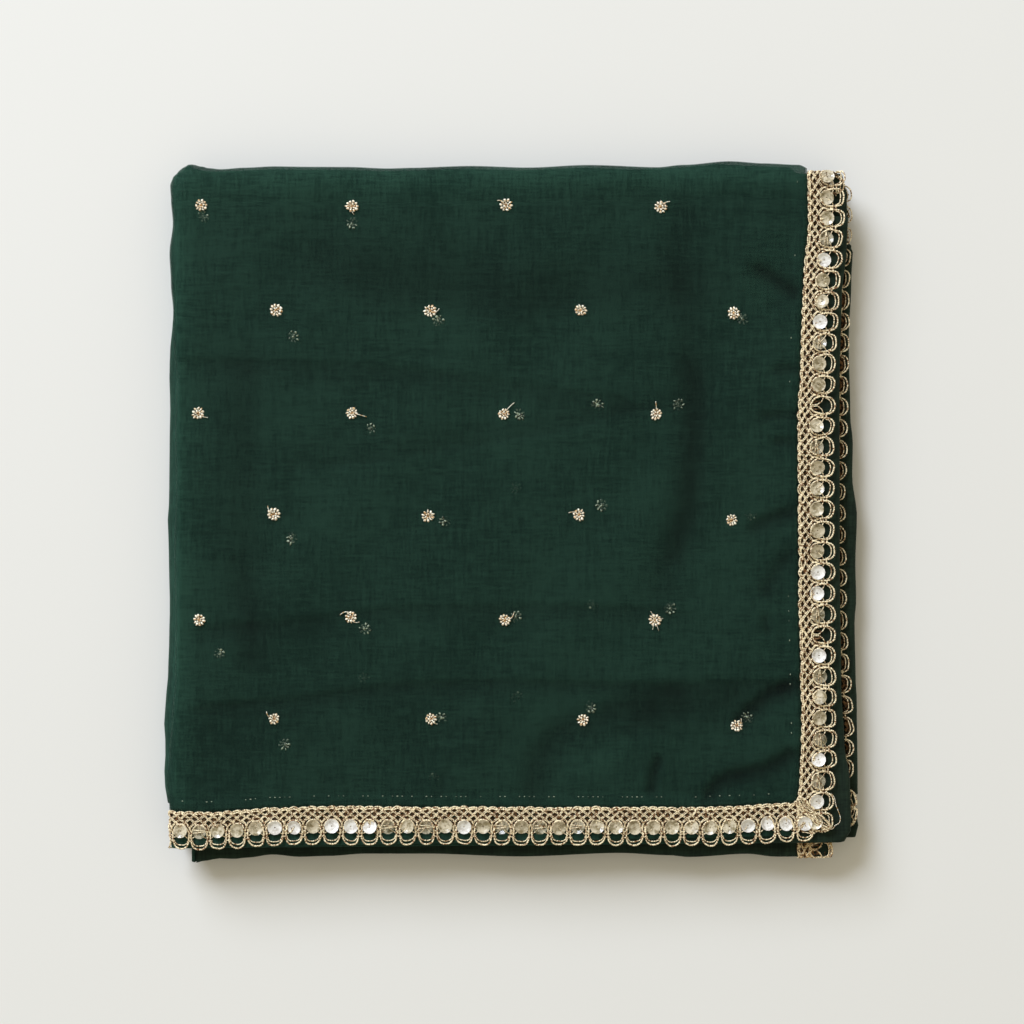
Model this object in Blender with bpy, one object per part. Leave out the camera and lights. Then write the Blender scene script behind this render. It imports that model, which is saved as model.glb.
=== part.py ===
"""A dupatta stole folded into a flat square pack, lying on a table.

The stole is one length of sheer georgette edged all round with crochet lace. It is folded across
its width into three and along its length into eight. The stretches that show are walls of their
own, and the folds inside the pack share one rounded solid whose edges are layered.

+X is the side of the pack where both lace ends lie, +Y the side of the long fold, +Z up. The
origin is under the middle of the pack, on the surface that it rests on. Lengths are in metres.
"""

import math

import bmesh
import bpy

# The stole as it was cut, with its lace, and how it is folded.
STOLE_LENGTH = 2.52
STOLE_WIDTH = 0.957
PASSES = 8
WIDTHS = 3
LACE_WIDTH = 0.018

# The pack: how far its folds reach from the middle, its height, and how it sags and leans.
HALF = 0.162
HEIGHT = 0.020
SAG = 0.08
EAST_BOW = 0.0045
WEST_FLARE = 0.0014
CORNER = 0.006

WALL = 0.0010
GAP = 0.00035
FOLD_THICKNESS = 0.0030
NOSE_DEPTH = 0.0016
LIP_RETURN = 0.0040
NOSE_STEPS = 6
SIDE_STEPS = 6
CORNER_STEPS = 3

# One folded stretch of the stole, from its fold to the outer edge of its lace.
LACE_EAST = STOLE_LENGTH / PASSES - HALF
LACE_SOUTH = HALF - STOLE_WIDTH / WIDTHS
PANEL_EAST = LACE_EAST - LACE_WIDTH - GAP
PANEL_SOUTH = LACE_SOUTH + LACE_WIDTH + GAP

# Heights of the stretches, from the top down.
CORE_TOP = HEIGHT - WALL - GAP
CORE_STEP = CORE_TOP - FOLD_THICKNESS
RETURN_TOP = CORE_STEP - GAP
RETURN_BOTTOM = RETURN_TOP - WALL
FRONT_TOP = 0.0130
FRONT_BOTTOM = FRONT_TOP - FOLD_THICKNESS
FAR_LACE_BOTTOM = FRONT_TOP - WALL
THIRD_TOP = FAR_LACE_BOTTOM - GAP
THIRD_BOTTOM = THIRD_TOP - FOLD_THICKNESS

# How far the hidden folds reach where they are set back behind a stretch that shows.
SET_BACK = 0.1340
RETURN_ROOM = 0.1540

# Bundles of hidden folds, from the bottom up: how high each lies and how far it reaches.
HIDDEN_BUNDLES = (
    # bottom, top, west, north, east, south
    (0.0, 0.0032, 0.1600, 0.1590, 0.1600, 0.1500),
    (0.0032, 0.0064, 0.1620, 0.1610, 0.1580, 0.1520),
    (0.0064, THIRD_BOTTOM - GAP, 0.1605, 0.1600, 0.1610, 0.1510),
    (THIRD_BOTTOM - GAP, FRONT_BOTTOM - GAP, 0.1615, 0.1605, SET_BACK, 0.1505),
    (FRONT_BOTTOM - GAP, FRONT_TOP + GAP, 0.1605, 0.1610, SET_BACK, SET_BACK),
    (FRONT_TOP + GAP, RETURN_BOTTOM - GAP, 0.1590, 0.1595, 0.1550, 0.1505),
    (RETURN_BOTTOM - GAP, RETURN_TOP, RETURN_ROOM, RETURN_ROOM, 0.1550, 0.1510),
    (RETURN_TOP, CORE_STEP, RETURN_ROOM, RETURN_ROOM, SET_BACK, 0.1500),
    (CORE_STEP, CORE_TOP, 0.1588, 0.1588, SET_BACK, 0.1500),
)
BUNDLE_RINGS = 4
RING_LIFT = 0.00004
CAP_SCALES = (0.8, 0.55, 0.28)

# Stretches that show beyond the top panel, on the side of the lace ends.
EAST_STRETCHES = {
    # name: bottom, top, reach, south end, north end
    "cloth_second_fold": (CORE_STEP, CORE_TOP, 0.1575, -0.1544, 0.1580),
    "lace_far_end": (FAR_LACE_BOTTOM, FRONT_TOP, 0.1600, -0.1465, 0.1545),
    "cloth_third_fold": (THIRD_BOTTOM, THIRD_TOP, 0.1640, -0.1500, 0.1500),
}
SHOWN_BACK = SET_BACK + GAP

# The fold below the lace edge of the top panel, and the end lace that is turned round it.
FRONT_REACH = 0.1620
FRONT_WEST = -0.1510
FRONT_EAST = 0.1336
TURNED_EAST = 0.1520
TURNED_BACK = 0.1519

FINISHES = {
    # name: colour, roughness
    "georgette": ((0.012, 0.030, 0.022), 0.75),
    "crochet_lace": ((0.70, 0.56, 0.36), 0.60),
}


def clear_scene():
    for thing in list(bpy.data.objects):
        bpy.data.objects.remove(thing, do_unlink=True)


def finish(name):
    colour, roughness = FINISHES[name]
    material = bpy.data.materials.new(name)
    material.use_nodes = True
    shader = material.node_tree.nodes["Principled BSDF"]
    shader.inputs["Base Color"].default_value = (*colour, 1.0)
    shader.inputs["Roughness"].default_value = roughness
    shader.inputs["Metallic"].default_value = 0.0
    return material


def steps(start, end, count):
    return [start + (end - start) * index / count for index in range(count + 1)]


def settle(point):
    """Lets the pack sag towards its edges, bows its lace side in and flares its fold side out."""
    x, y, z = point
    sag = SAG * ((x / HALF) ** 2 + (y / HALF) ** 2) / 2
    bow = EAST_BOW * (1 - (y / HALF) ** 2) * max(x / HALF, 0.0) ** 2
    flare = WEST_FLARE * (y / HALF) * max(-x / HALF, 0.0)
    return (x - bow + flare, y, z * (1 - sag))


def add_object(name, points, faces, material):
    mesh = bpy.data.meshes.new(name)
    mesh.from_pydata([settle(point) for point in points], [], faces)
    mesh.materials.append(material)
    thing = bpy.data.objects.new(name, mesh)
    bpy.context.scene.collection.objects.link(thing)
    return thing


def turn_faces_out(thing):
    shape = bmesh.new()
    shape.from_mesh(thing.data)
    bmesh.ops.recalc_face_normals(shape, faces=shape.faces)
    shape.to_mesh(thing.data)
    shape.free()


def add_wall(name, points, faces, material):
    """Thickens an open surface, whose faces point outwards, into a wall on its inner side."""
    thing = add_object(name, points, faces, material)
    wall = thing.modifiers.new("wall", "SOLIDIFY")
    wall.thickness = WALL
    wall.offset = -1.0
    wall.use_even_offset = True
    return thing


def ring_faces(ring_count, size):
    """Four-sided faces between each ring of points and the next."""
    faces = []
    for ring in range(ring_count - 1):
        for index in range(size):
            here = ring * size + index
            beside = ring * size + (index + 1) % size
            faces.append((here, beside, beside + size, here + size))
    return faces


def grid_faces(rows, columns):
    faces = []
    for row in range(rows - 1):
        for column in range(columns - 1):
            here = row * columns + column
            faces.append((here, here + columns, here + columns + 1, here + 1))
    return faces


def nose(top, bottom, back):
    """Outward distance and height of points round a fold, from its top edge to its return."""
    radius = (top - bottom) / 2
    middle = (top + bottom) / 2
    angles = steps(0.0, math.pi, NOSE_STEPS)
    turn = [(radius * math.sin(angle), middle + radius * math.cos(angle)) for angle in angles]
    return turn + [(-back, bottom)]


def corner_arc(centre_x, centre_y, start):
    """Points of a quarter circle, turning clockwise from the angle start."""
    angles = steps(start, start - math.pi / 2, CORNER_STEPS)
    return [
        (centre_x + CORNER * math.cos(angle), centre_y + CORNER * math.sin(angle))
        for angle in angles
    ]


def rounded_outline(west, north, east, south):
    """A rectangle with round corners, clockwise from the lower left, its sides subdivided."""
    corners = (
        corner_arc(-west + CORNER, -south + CORNER, 1.5 * math.pi),
        corner_arc(-west + CORNER, north - CORNER, math.pi),
        corner_arc(east - CORNER, north - CORNER, 0.5 * math.pi),
        corner_arc(east - CORNER, -south + CORNER, 0.0),
    )
    outline = []
    for index, corner in enumerate(corners):
        following = corners[(index + 1) % len(corners)]
        (start_x, start_y), (end_x, end_y) = corner[-1], following[0]
        outline += corner
        for part in steps(0.0, 1.0, SIDE_STEPS)[1:-1]:
            outline.append((start_x + (end_x - start_x) * part, start_y + (end_y - start_y) * part))
    return outline


def bundle_rings(bottom, top, reaches):
    """Outlines of one bundle of folds, rounded like the nose of a fold."""
    half = (top - bottom) / 2
    depth = min(half, NOSE_DEPTH)
    rings = []
    for height in steps(bottom + RING_LIFT, top - RING_LIFT, BUNDLE_RINGS - 1):
        across = (height - bottom - half) / half
        inset = depth * (1 - math.sqrt(max(1 - across**2, 0.0)))
        outline = rounded_outline(*(reach - inset for reach in reaches))
        rings.append([(x, y, height) for x, y in outline])
    return rings


def make_hidden_layers(material):
    """The folds inside the pack: one solid, flat underneath, layered at its edges."""
    rings = []
    for bottom, top, *reaches in HIDDEN_BUNDLES:
        rings += bundle_rings(bottom, top, reaches)
    rings[0] = [(x, y, 0.0) for x, y, _ in rings[0]]
    rings += [[(x * scale, y * scale, z) for x, y, z in rings[-1]] for scale in CAP_SCALES]
    size = len(rings[0])
    points = [point for ring in rings for point in ring]
    faces = ring_faces(len(rings), size)
    faces.append(tuple(range(size)))
    last = len(points)
    points.append((0.0, 0.0, rings[-1][0][2]))
    for index in range(size):
        faces.append((last - size + index, last - size + (index + 1) % size, last))
    turn_faces_out(add_object("cloth_hidden_layers", points, faces, material))


def panel_border():
    """The fold line of the top panel, from its lower left end round to its upper right end.

    Each point carries the outward direction there."""
    flat = HALF - (HEIGHT - RETURN_BOTTOM) / 2
    start = CORNER - flat
    border = [(-flat, y, -1.0, 0.0) for y in steps(PANEL_SOUTH, -start, SIDE_STEPS)[:-1]]
    for angle in steps(math.pi, math.pi / 2, CORNER_STEPS):
        out_x, out_y = math.cos(angle), math.sin(angle)
        border.append((start + CORNER * out_x, CORNER * out_y - start, out_x, out_y))
    border += [(x, flat, 0.0, 1.0) for x in steps(start, PANEL_EAST, SIDE_STEPS)[1:]]
    return border


def make_top_panel(material):
    """The stretch that faces up, turned down and under along its two folds."""
    border = panel_border()
    flat = border[-1][1]
    loop = [(x, y) for x, y, _, _ in border]
    loop += [(PANEL_EAST, y) for y in steps(flat, PANEL_SOUTH, SIDE_STEPS)[1:]]
    loop += [(x, PANEL_SOUTH) for x in steps(PANEL_EAST, -flat, SIDE_STEPS)[1:-1]]
    size = len(loop)
    points = []
    for scale in (1.0, *CAP_SCALES):
        points += [(x * scale, y * scale, HEIGHT) for x, y in loop]
    faces = [face[::-1] for face in ring_faces(1 + len(CAP_SCALES), size)]
    last = len(points)
    points.append((0.0, 0.0, HEIGHT))
    for index in range(size):
        faces.append((last - size + (index + 1) % size, last - size + index, last))
    before = list(range(len(border)))
    for out, height in nose(HEIGHT, RETURN_BOTTOM, LIP_RETURN)[1:]:
        after = [len(points) + index for index in range(len(border))]
        points += [(x + out * out_x, y + out * out_y, height) for x, y, out_x, out_y in border]
        for index in range(len(border) - 1):
            faces.append((after[index], before[index], before[index + 1], after[index + 1]))
        before = after
    add_wall("cloth_top_panel", points, faces, material)


def make_top_laces(material):
    """The lace on the two free edges of the top panel, mitred where they meet."""
    flat = HALF - (HEIGHT - RETURN_BOTTOM) / 2
    turn = nose(HEIGHT, RETURN_BOTTOM, LIP_RETURN)[1:]
    east_rows = []
    south_rows = []
    for across in steps(0.0, LACE_WIDTH, 2):
        x = LACE_EAST - LACE_WIDTH + across
        mitre = PANEL_SOUTH - across
        row = [(x, y, HEIGHT) for y in steps(mitre, flat, 2 * SIDE_STEPS)]
        east_rows.append(row + [(x, flat + out, height) for out, height in turn])
        y = LACE_SOUTH + LACE_WIDTH - across
        mitre = PANEL_EAST + across
        row = [(x, y, HEIGHT) for x in steps(mitre, -flat, 2 * SIDE_STEPS)]
        south_rows.append(row + [(-flat - out, y, height) for out, height in turn])
    for name, rows in (("lace_end_top", east_rows), ("lace_side_top", south_rows[::-1])):
        points = [point for row in rows for point in row]
        add_wall(name, points, grid_faces(len(rows), len(rows[0])), material)


def make_east_stretches(cloth, lace):
    """Folds, and the other lace end, that look out beyond the top panel's end lace."""
    for name, (bottom, top, reach, south, north) in EAST_STRETCHES.items():
        radius = (top - bottom) / 2
        section = [(reach - radius + out, height) for out, height in nose(top, bottom, 0.0)[:-1]]
        section = [(SHOWN_BACK, top), *section, (SHOWN_BACK, bottom)]
        points = [(x, y, z) for y in steps(south, north, 2 * SIDE_STEPS) for x, z in section]
        size = len(section)
        faces = ring_faces(2 * SIDE_STEPS + 1, size)
        faces.append(tuple(range(size)))
        faces.append(tuple(range(len(points) - size, len(points))))
        material = lace if name.startswith("lace") else cloth
        turn_faces_out(add_object(name, points, faces, material))


def make_front_fold(material):
    """The fold that looks out below the top panel's side lace."""
    radius = FOLD_THICKNESS / 2
    turn = nose(FRONT_TOP, FRONT_BOTTOM, 0.0)[:-1]
    section = [(radius - FRONT_REACH - out, height) for out, height in turn]
    section = [(-SHOWN_BACK, FRONT_TOP), *section, (-SHOWN_BACK, FRONT_BOTTOM)]
    stations = steps(FRONT_WEST, FRONT_EAST, 2 * SIDE_STEPS)
    points = [(x, y, z) for x in stations for y, z in section]
    size = len(section)
    faces = ring_faces(len(stations), size)
    faces.append(tuple(range(size)))
    faces.append(tuple(range(len(points) - size, len(points))))
    turn_faces_out(add_object("cloth_front_fold", points, faces, material))


def make_turned_lace(material):
    """The end lace carried round the front fold, one wall bent back on itself."""
    radius = FOLD_THICKNESS / 2
    flat = FRONT_REACH - radius
    turn = nose(FRONT_TOP, FRONT_BOTTOM, flat - TURNED_BACK)
    path = [(-TURNED_BACK, FRONT_TOP)] + [(-flat - out, height) for out, height in turn]
    stations = steps(TURNED_EAST, FRONT_EAST + GAP, 2)
    points = [(x, y, z) for x in stations for y, z in path]
    add_wall("lace_turned_end", points, grid_faces(len(stations), len(path)), material)


def main():
    clear_scene()
    cloth = finish("georgette")
    lace = finish("crochet_lace")
    make_hidden_layers(cloth)
    make_top_panel(cloth)
    make_top_laces(lace)
    make_east_stretches(cloth, lace)
    make_front_fold(cloth)
    make_turned_lace(lace)


main()
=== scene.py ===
# %% [markdown]
# # A folded dupatta stole
#
# A dupatta is a long, light stole. This one is two and a half metres of bottle-green georgette,
# embroidered with small gold flowers and edged all round with gold crochet lace that carries
# mother-of-pearl sequins. It lies folded flat: in three across its width, then in eight along
# its length.
#
# The lesson builds it the way it is folded. One function says where any place on the flat stole
# ends up in the pack. The cloth, the lace along its edges, the flowers and the stitches all ask
# that same function where they lie, so they always agree with each other.

import math
from functools import partial

import bpy
import numpy as np
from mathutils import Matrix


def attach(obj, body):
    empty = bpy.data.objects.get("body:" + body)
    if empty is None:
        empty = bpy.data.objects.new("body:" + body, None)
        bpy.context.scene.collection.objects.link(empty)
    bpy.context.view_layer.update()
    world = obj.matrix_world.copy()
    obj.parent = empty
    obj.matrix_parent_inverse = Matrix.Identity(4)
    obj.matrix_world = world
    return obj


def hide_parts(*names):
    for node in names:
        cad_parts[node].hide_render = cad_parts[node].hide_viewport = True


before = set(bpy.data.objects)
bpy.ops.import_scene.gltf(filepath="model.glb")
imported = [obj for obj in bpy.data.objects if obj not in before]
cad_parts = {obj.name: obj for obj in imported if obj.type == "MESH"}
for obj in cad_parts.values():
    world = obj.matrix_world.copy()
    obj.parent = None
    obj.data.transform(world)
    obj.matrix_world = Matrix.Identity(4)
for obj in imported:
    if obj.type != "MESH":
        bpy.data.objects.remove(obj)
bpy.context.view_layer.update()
print("solids in the frame:", sorted(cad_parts))

# %% [markdown]
# ## Helpers that every piece uses
#
# Blender counts in metres, but a stole is measured in millimetres, so the tables below are
# written in millimetres and one constant brings them over. Colours are written as the hex values
# that a colour picker shows, and one function turns them into the linear light that shaders
# calculate with. A single function adds any node, with its settings and links. Where it is
# handed a node in place of a value, it links that node's result.

# %% Units and colours
MM = 0.001


def colour(hex_value):
    """Linear light for an sRGB hex value such as 'e0cfae'."""
    shares = [int(hex_value[start : start + 2], 16) / 255 for start in (0, 2, 4)]
    linear = [s / 12.92 if s <= 0.04045 else ((s + 0.055) / 1.055) ** 2.4 for s in shares]
    return (*linear, 1.0)


print("linear light of middle grey:", round(colour("808080")[0], 3))

# %% Nodes, materials and objects
def add_node(tree, kind, inputs=None, **settings):
    """Adds a node. An input takes a value, a socket, a node, or a list of them to join."""
    node = tree.nodes.new(kind)
    for name, setting in settings.items():
        setattr(node, name, setting)
    for name, value in (inputs or {}).items():
        for source in value if isinstance(value, list) else [value]:
            if isinstance(source, bpy.types.Node):
                source = next(socket for socket in source.outputs if socket.enabled)
            if isinstance(source, bpy.types.NodeSocket):
                tree.links.new(source, node.inputs[name])
            else:
                node.inputs[name].default_value = source
    return node


def new_material(name, constants):
    """A material whose shader has these constants on its own sockets, with its tree and shader."""
    material = bpy.data.materials.new(name)
    material.use_nodes = True
    shader = material.node_tree.nodes["Principled BSDF"]
    for socket, value in constants.items():
        shader.inputs[socket].default_value = value
    return material, material.node_tree, shader


def show(name, data):
    """Puts data into the scene as an object."""
    thing = bpy.data.objects.new(name, data)
    bpy.context.scene.collection.objects.link(thing)
    return thing


def show_mesh(name, points, faces):
    mesh = bpy.data.meshes.new(name)
    mesh.from_pydata(points, [], faces)
    return show(name, mesh)

# %% [markdown]
# ## Camera, table and light
#
# The pack is seen from straight above. A long lens from just over a metre keeps the far layers
# from spreading. The table is a plain pale surface. One large soft lamp stands at the upper left
# and low enough to throw a short soft shadow to the lower right, and the sky fills in the rest.

# %% Camera
CAMERA_LENS = 82.0
CAMERA_HEIGHT = 1.1157
VIEW_CENTRE = (-0.7 * MM, -0.2 * MM)

camera_data = bpy.data.cameras.new("camera")
camera_data.lens = CAMERA_LENS
camera_data.sensor_width = 36.0
camera_data.clip_start = 0.05
camera = show("camera", camera_data)
camera.location = (*VIEW_CENTRE, CAMERA_HEIGHT)
bpy.context.scene.camera = camera
print(f"camera {CAMERA_HEIGHT:.3f} m above the table, {CAMERA_LENS:.0f} mm lens")

# %% Table
TABLE_SIDE = 6.0
TABLE_COLOUR = "e4e3dd"

# Matt paint scatters light evenly, so the table stays plain and shows only the soft shadow.
matt = {"Base Color": colour(TABLE_COLOUR), "Roughness": 0.9, "Specular IOR Level": 0.2}
table_paint, _, _ = new_material("matt_table_paint", matt)
half = TABLE_SIDE / 2
corners = [(-half, -half, 0.0), (half, -half, 0.0), (half, half, 0.0), (-half, half, 0.0)]
table = show_mesh("table_top", corners, [(0, 1, 2, 3)])
table.data.materials.append(table_paint)
print(f"table {TABLE_SIDE:.0f} m square")

# %% Light
LAMP_PLACE = (-2.35, 3.48, 2.62)
LAMP_SIDE = 2.45
LAMP_POWER = 338.0
LAMP_COLOUR = (0.78, 0.85, 1.0)
SKY_COLOUR = (1.0, 0.92, 0.73)
SKY_STRENGTH = 0.51

lamp_data = bpy.data.lights.new("soft_lamp", "AREA")
lamp_data.shape = "SQUARE"
lamp_data.size = LAMP_SIDE
lamp_data.energy = LAMP_POWER
lamp_data.color = LAMP_COLOUR
lamp = show("soft_lamp", lamp_data)
lamp.location = LAMP_PLACE
reach = math.hypot(LAMP_PLACE[0], LAMP_PLACE[1])
turn_round = math.atan2(LAMP_PLACE[1], LAMP_PLACE[0]) + math.pi / 2
lamp.rotation_euler = (math.atan2(reach, LAMP_PLACE[2]), 0.0, turn_round)
print(f"lamp {math.hypot(*LAMP_PLACE):.1f} m away, {LAMP_POWER:.0f} W")

sky = bpy.data.worlds.new("studio_sky")
sky.use_nodes = True
sky_light = sky.node_tree.nodes["Background"]
sky_light.inputs["Color"].default_value = (*SKY_COLOUR, 1.0)
sky_light.inputs["Strength"].default_value = SKY_STRENGTH
bpy.context.scene.world = sky
bpy.context.scene.view_settings.view_transform = "Standard"

# %% [markdown]
# ## How the stole is folded
#
# Across its width the stole is folded like a letter, in three: the panel that faces up, a second
# panel joined to it by the far fold, and a third joined by the near fold. That strip is then
# folded along its length into eight passes. In the order in which the length meets them they lie
# first, second and third from the top, then at the very bottom, and from there up again to
# fourth, so the last end looks out half way down.
#
# A sheet folded this way is a curve swept along a curve. `course` walks along the length and says
# how high each pass lies and which way its face looks. `section` walks across the width and says
# how far from the middle of the pass each panel lies. The tables hold what a tape measure would
# read on the pack: how far each fold and each edge reaches, at a few places along it.

# %% Sizes of the stole
# All in millimetres, but for the sag, which is a share of the height.
CLOTH_THICKNESS = 0.30
PANEL_GAP = 0.80
HALF = 162.0
PACK_HEIGHT = 20.0
SAG = 0.08
print(f"pack {2 * HALF:.0f} mm square and {PACK_HEIGHT:.0f} mm high")

# %% Outlines
# All in millimetres. Rows run along the pack: where, then how far out.
TOP_WEST = (
    (-160, -162.2), (-141, -162.3), (-138, -162.4), (-136, -162.6),
    (-132, -163.0), (-128, -163.7), (-114, -162.4), (-100, -161.2), (-80, -159.6),
    (-52, -159.4), (-20, -160.0), (10, -159.2), (40, -159.6), (62, -158.8), (82, -160.4),
    (94, -160.4), (108, -161.6), (122, -162.3), (136, -160.7), (147, -161.6), (154, -162.0),
    (157, -161.0), (160.5, -158.0), (163.4, -154.0),
)
WRAP_WEST = (
    (-156, -160.5), (-144, -162.6), (-138, -164.2), (-133, -165.2), (-127, -165.9),
    (-112, -165.2), (-99, -165.9), (-88, -164.9), (-76, -164.0), (-60, -163.5), (-45, -163.2),
    (-25, -163.6), (-9, -163.9), (-3, -164.2), (6, -163.5), (36, -163.3), (48, -163.0),
    (66, -163.4), (76, -163.0), (93, -161.5), (104, -160.8), (130, -159.0), (160, -155.0),
)
TOP_NORTH = (
    (-160, 163.4), (-158, 163.4), (-153, 162.5), (-147, 161.6), (-141, 161.1), (-131, 161.8),
    (-118, 162.4), (-100, 162.1), (-82, 162.1), (-62, 161.4), (-52, 161.7), (-25, 162.6), (3, 161.8),
    (30, 163.0), (64, 162.0), (76, 163.2), (98, 164.9), (114, 163.9), (130, 163.2), (137, 160.4),
    (156, 161.6),
)
PANEL_EAST_EDGE = (
    (-137, 132.9), (-129, 134.2), (-103, 135.2), (-78, 134.8), (-35, 133.8), (44, 133.3),
    (66, 134.6), (88, 135.2), (109, 136.1), (136, 138.4), (162, 138.0),
)
END_LACE_EDGE = (
    (-151, 150.4), (-135, 151.0), (-117, 152.0), (-86, 152.1), (-50, 151.4), (13, 150.8),
    (59, 151.3), (79, 152.2), (99, 153.4), (122, 154.6), (140, 155.8), (162, 156.2),
)
PANEL_SOUTH_EDGE = (
    (-162, -140.5), (-146, -141.2), (-130, -140.3), (-114, -139.0), (-90, -138.3),
    (-20, -138.5), (84, -138.8), (106, -138.0), (132, -136.8), (150, -136.5),
)
SIDE_LACE_EDGE = (
    (-162, -159.3), (-144, -159.1), (-128, -158.7), (-119, -157.6), (-101, -156.9),
    (-50, -156.8), (30, -157.1), (93, -157.5), (110, -156.8), (133, -155.3), (150, -154.6),
)
SECOND_FOLD_EAST = (
    (-157, 152.5), (-154.5, 157.8), (-150, 159.2), (-145, 159.4), (-127, 158.8), (-110, 156.2),
    (-80, 154.6), (-20, 153.9), (60, 153.8), (100, 154.8), (125, 157.2), (145, 158.2),
    (154, 157.4), (161, 155.6),
)
THIRD_FOLD_EAST = (
    (-154.5, 163.0), (-152, 165.8), (-149.5, 164.6), (-145, 163.6), (-126, 163.4),
    (-90, 163.0), (-78, 162.4), (-52, 161.9), (-42, 162.7), (-25, 162.3), (-2, 163.0),
    (17, 160.8), (33, 161.1), (45, 159.9), (80, 159.2), (110, 160.4), (126, 161.2),
    (130, 156.0), (150, 150.0),
)
FOURTH_FOLD_EAST = (
    (-150, 160.0), (-120, 161.6), (-60, 160.2), (0, 161.0), (60, 158.6), (150, 157.0),
)
FRONT_FOLD_SOUTH = (
    (-158, -160.5), (-153, -164.0), (-150.5, -166.2), (-146, -165.2), (-139, -164.1),
    (-132, -164.3), (-126, -163.7), (-114, -162.2), (-101, -163.3), (-87, -162.9), (-70, -161.8),
    (-42, -161.8), (3, -163.1), (50, -161.5), (74, -162.6), (83, -163.4), (111, -161.9),
    (124, -163.2), (150, -163.0),
)

# %% Reading an outline
def softened(share):
    """Turns a straight share from 0 to 1 into one that starts and ends gently."""
    share = np.clip(share, 0.0, 1.0)
    return share * share * (3.0 - 2.0 * share)


def read_table(rows, place):
    """Reads a table of (place, size) rows at any place, passing softly from row to row."""
    places, sizes = np.array(rows, float).T
    below = np.clip(np.searchsorted(places, place) - 1, 0, len(places) - 2)
    share = softened((place - places[below]) / (places[below + 1] - places[below]))
    return sizes[below] + (sizes[below + 1] - sizes[below]) * share


middle_width = read_table(SECOND_FOLD_EAST, 0.0) - read_table(TOP_WEST, 0.0)
print(f"from fold to fold through the middle: {middle_width:.1f} mm")

# %% [markdown]
# ### The course along the length
#
# Each row of `PASSES` is one of the eight passes in the order in which the length meets them.
# Near the lace ends the passes lie a little higher than at the folds, because fewer layers are
# caught between them there. A pass whose face looks down has -1 in the last column.

# %% Passes and turns
PASSES = (
    # height of its middle at the long fold, height at the lace ends, which way its face looks
    (18.80, 18.90, 1),
    (16.30, 17.35, -1),
    (13.90, 14.60, 1),
    (1.00, 1.05, -1),
    (4.20, 4.90, 1),
    (6.60, 7.60, -1),
    (9.00, 10.15, 1),
    (11.40, 11.90, -1),
)
INNER_WEST = ((-170, -152.6), (-150, -152.6), (-60, -154.0), (40, -152.5), (160, -155.0))
TURNS = (
    # outline, side, how far it bulges, how square it is, and +1 where the face is outermost
    (TOP_WEST, -1, 1.6, 1.0, 1),
    (SECOND_FOLD_EAST, 1, 1.9, 0.9, -1),
    (WRAP_WEST, -1, 4.6, 0.7, 1),
    (FOURTH_FOLD_EAST, 1, 2.0, 0.9, 1),
    (INNER_WEST, -1, 1.5, 1.0, -1),
    (THIRD_FOLD_EAST, 1, 2.0, 0.9, 1),
    (INNER_WEST, -1, 1.5, 1.0, -1),
)
LACE_SIDE_START = 105.0
LACE_SIDE_RISE = 28.0
HIDDEN_END = 133.5
FAR_PANEL_END = 141.5
CORNER_START = -148.0
CORNER_END = 149.0
HEM_SETBACK = 0.7
OUTER_LAYER = PANEL_GAP + CLOTH_THICKNESS / 2
print(len(PASSES), "passes and", len(TURNS), "turns")

# %% The course
def pass_height(index, x):
    at_fold, at_lace, _ = PASSES[index]
    return at_fold + (at_lace - at_fold) * softened((x - LACE_SIDE_START) / LACE_SIDE_RISE)


def turn_line(index, y):
    """Where the straight part of a pass ends and its turn begins."""
    outline, side, bulge, _, _ = TURNS[index]
    return read_table(outline, y) - side * (bulge + OUTER_LAYER)


def free_end(index, y, panel):
    """Where the stole's own ends lie: the first pass starts at one, the last ends at the other."""
    if index == 0:
        return read_table(PANEL_EAST_EDGE, y) - np.where(panel < 0.5, 0.0, HEM_SETBACK)
    end = np.where(panel > 1.5, FAR_PANEL_END, HIDDEN_END)
    return np.where(y < CORNER_START, CORNER_END, end)


def course(station, y, panel):
    """Place and upward direction at a station along the length, for each place across."""
    kind, index, share = station
    if kind == "pass":
        start = free_end(0, y, panel) if index == 0 else turn_line(index - 1, y)
        last = index == len(PASSES) - 1
        end = free_end(index, y, panel) if last else turn_line(index, y)
        x = start + (end - start) * share
        up = np.full_like(x, PASSES[index][2])
        return x, pass_height(index, x), np.zeros_like(x), up
    _, side, bulge, square, face = TURNS[index]
    angle = math.pi * share
    sine, cosine = math.sin(angle), math.cos(angle)
    line = turn_line(index, y)
    before, after = pass_height(index, line), pass_height(index + 1, line)
    x = line + side * bulge * sine**square
    z = (before + after) / 2 + (before - after) / 2 * math.copysign(abs(cosine) ** square, cosine)
    out = np.full_like(x, side * sine * face)
    return x, z, out, np.full_like(x, PASSES[index][2] * cosine)

# %% [markdown]
# ### The section across the width
#
# The table says how far the four edges of the strip reach at each end of every pass: the first
# panel's free edge, the near fold, the far fold and the third panel's free edge. Between two
# ends the edges run straight, except where the top panel and the front fold show: there the
# measured outlines take over.

# %% Edges of the strip
EDGES = (
    # free edge of the first panel, near fold, far fold, free edge of the third panel
    (-136.6, -152.5, 161.4, 141.0),
    (-140.5, -158.6, 160.4, 142.0),
    (-137.0, -155.8, 159.2, 139.0),
    (-138.0, -156.0, 160.6, 141.0),
    (-134.0, -151.6, 157.0, 138.0),
    (-135.0, -154.6, 159.2, 140.0),
    (-134.0, -154.4, 152.0, 136.0),
    (-143.0, -162.4, 160.0, 141.0),
    (-140.0, -163.0, 157.0, 139.0),
)
FOLD_REACH = 158.0
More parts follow.
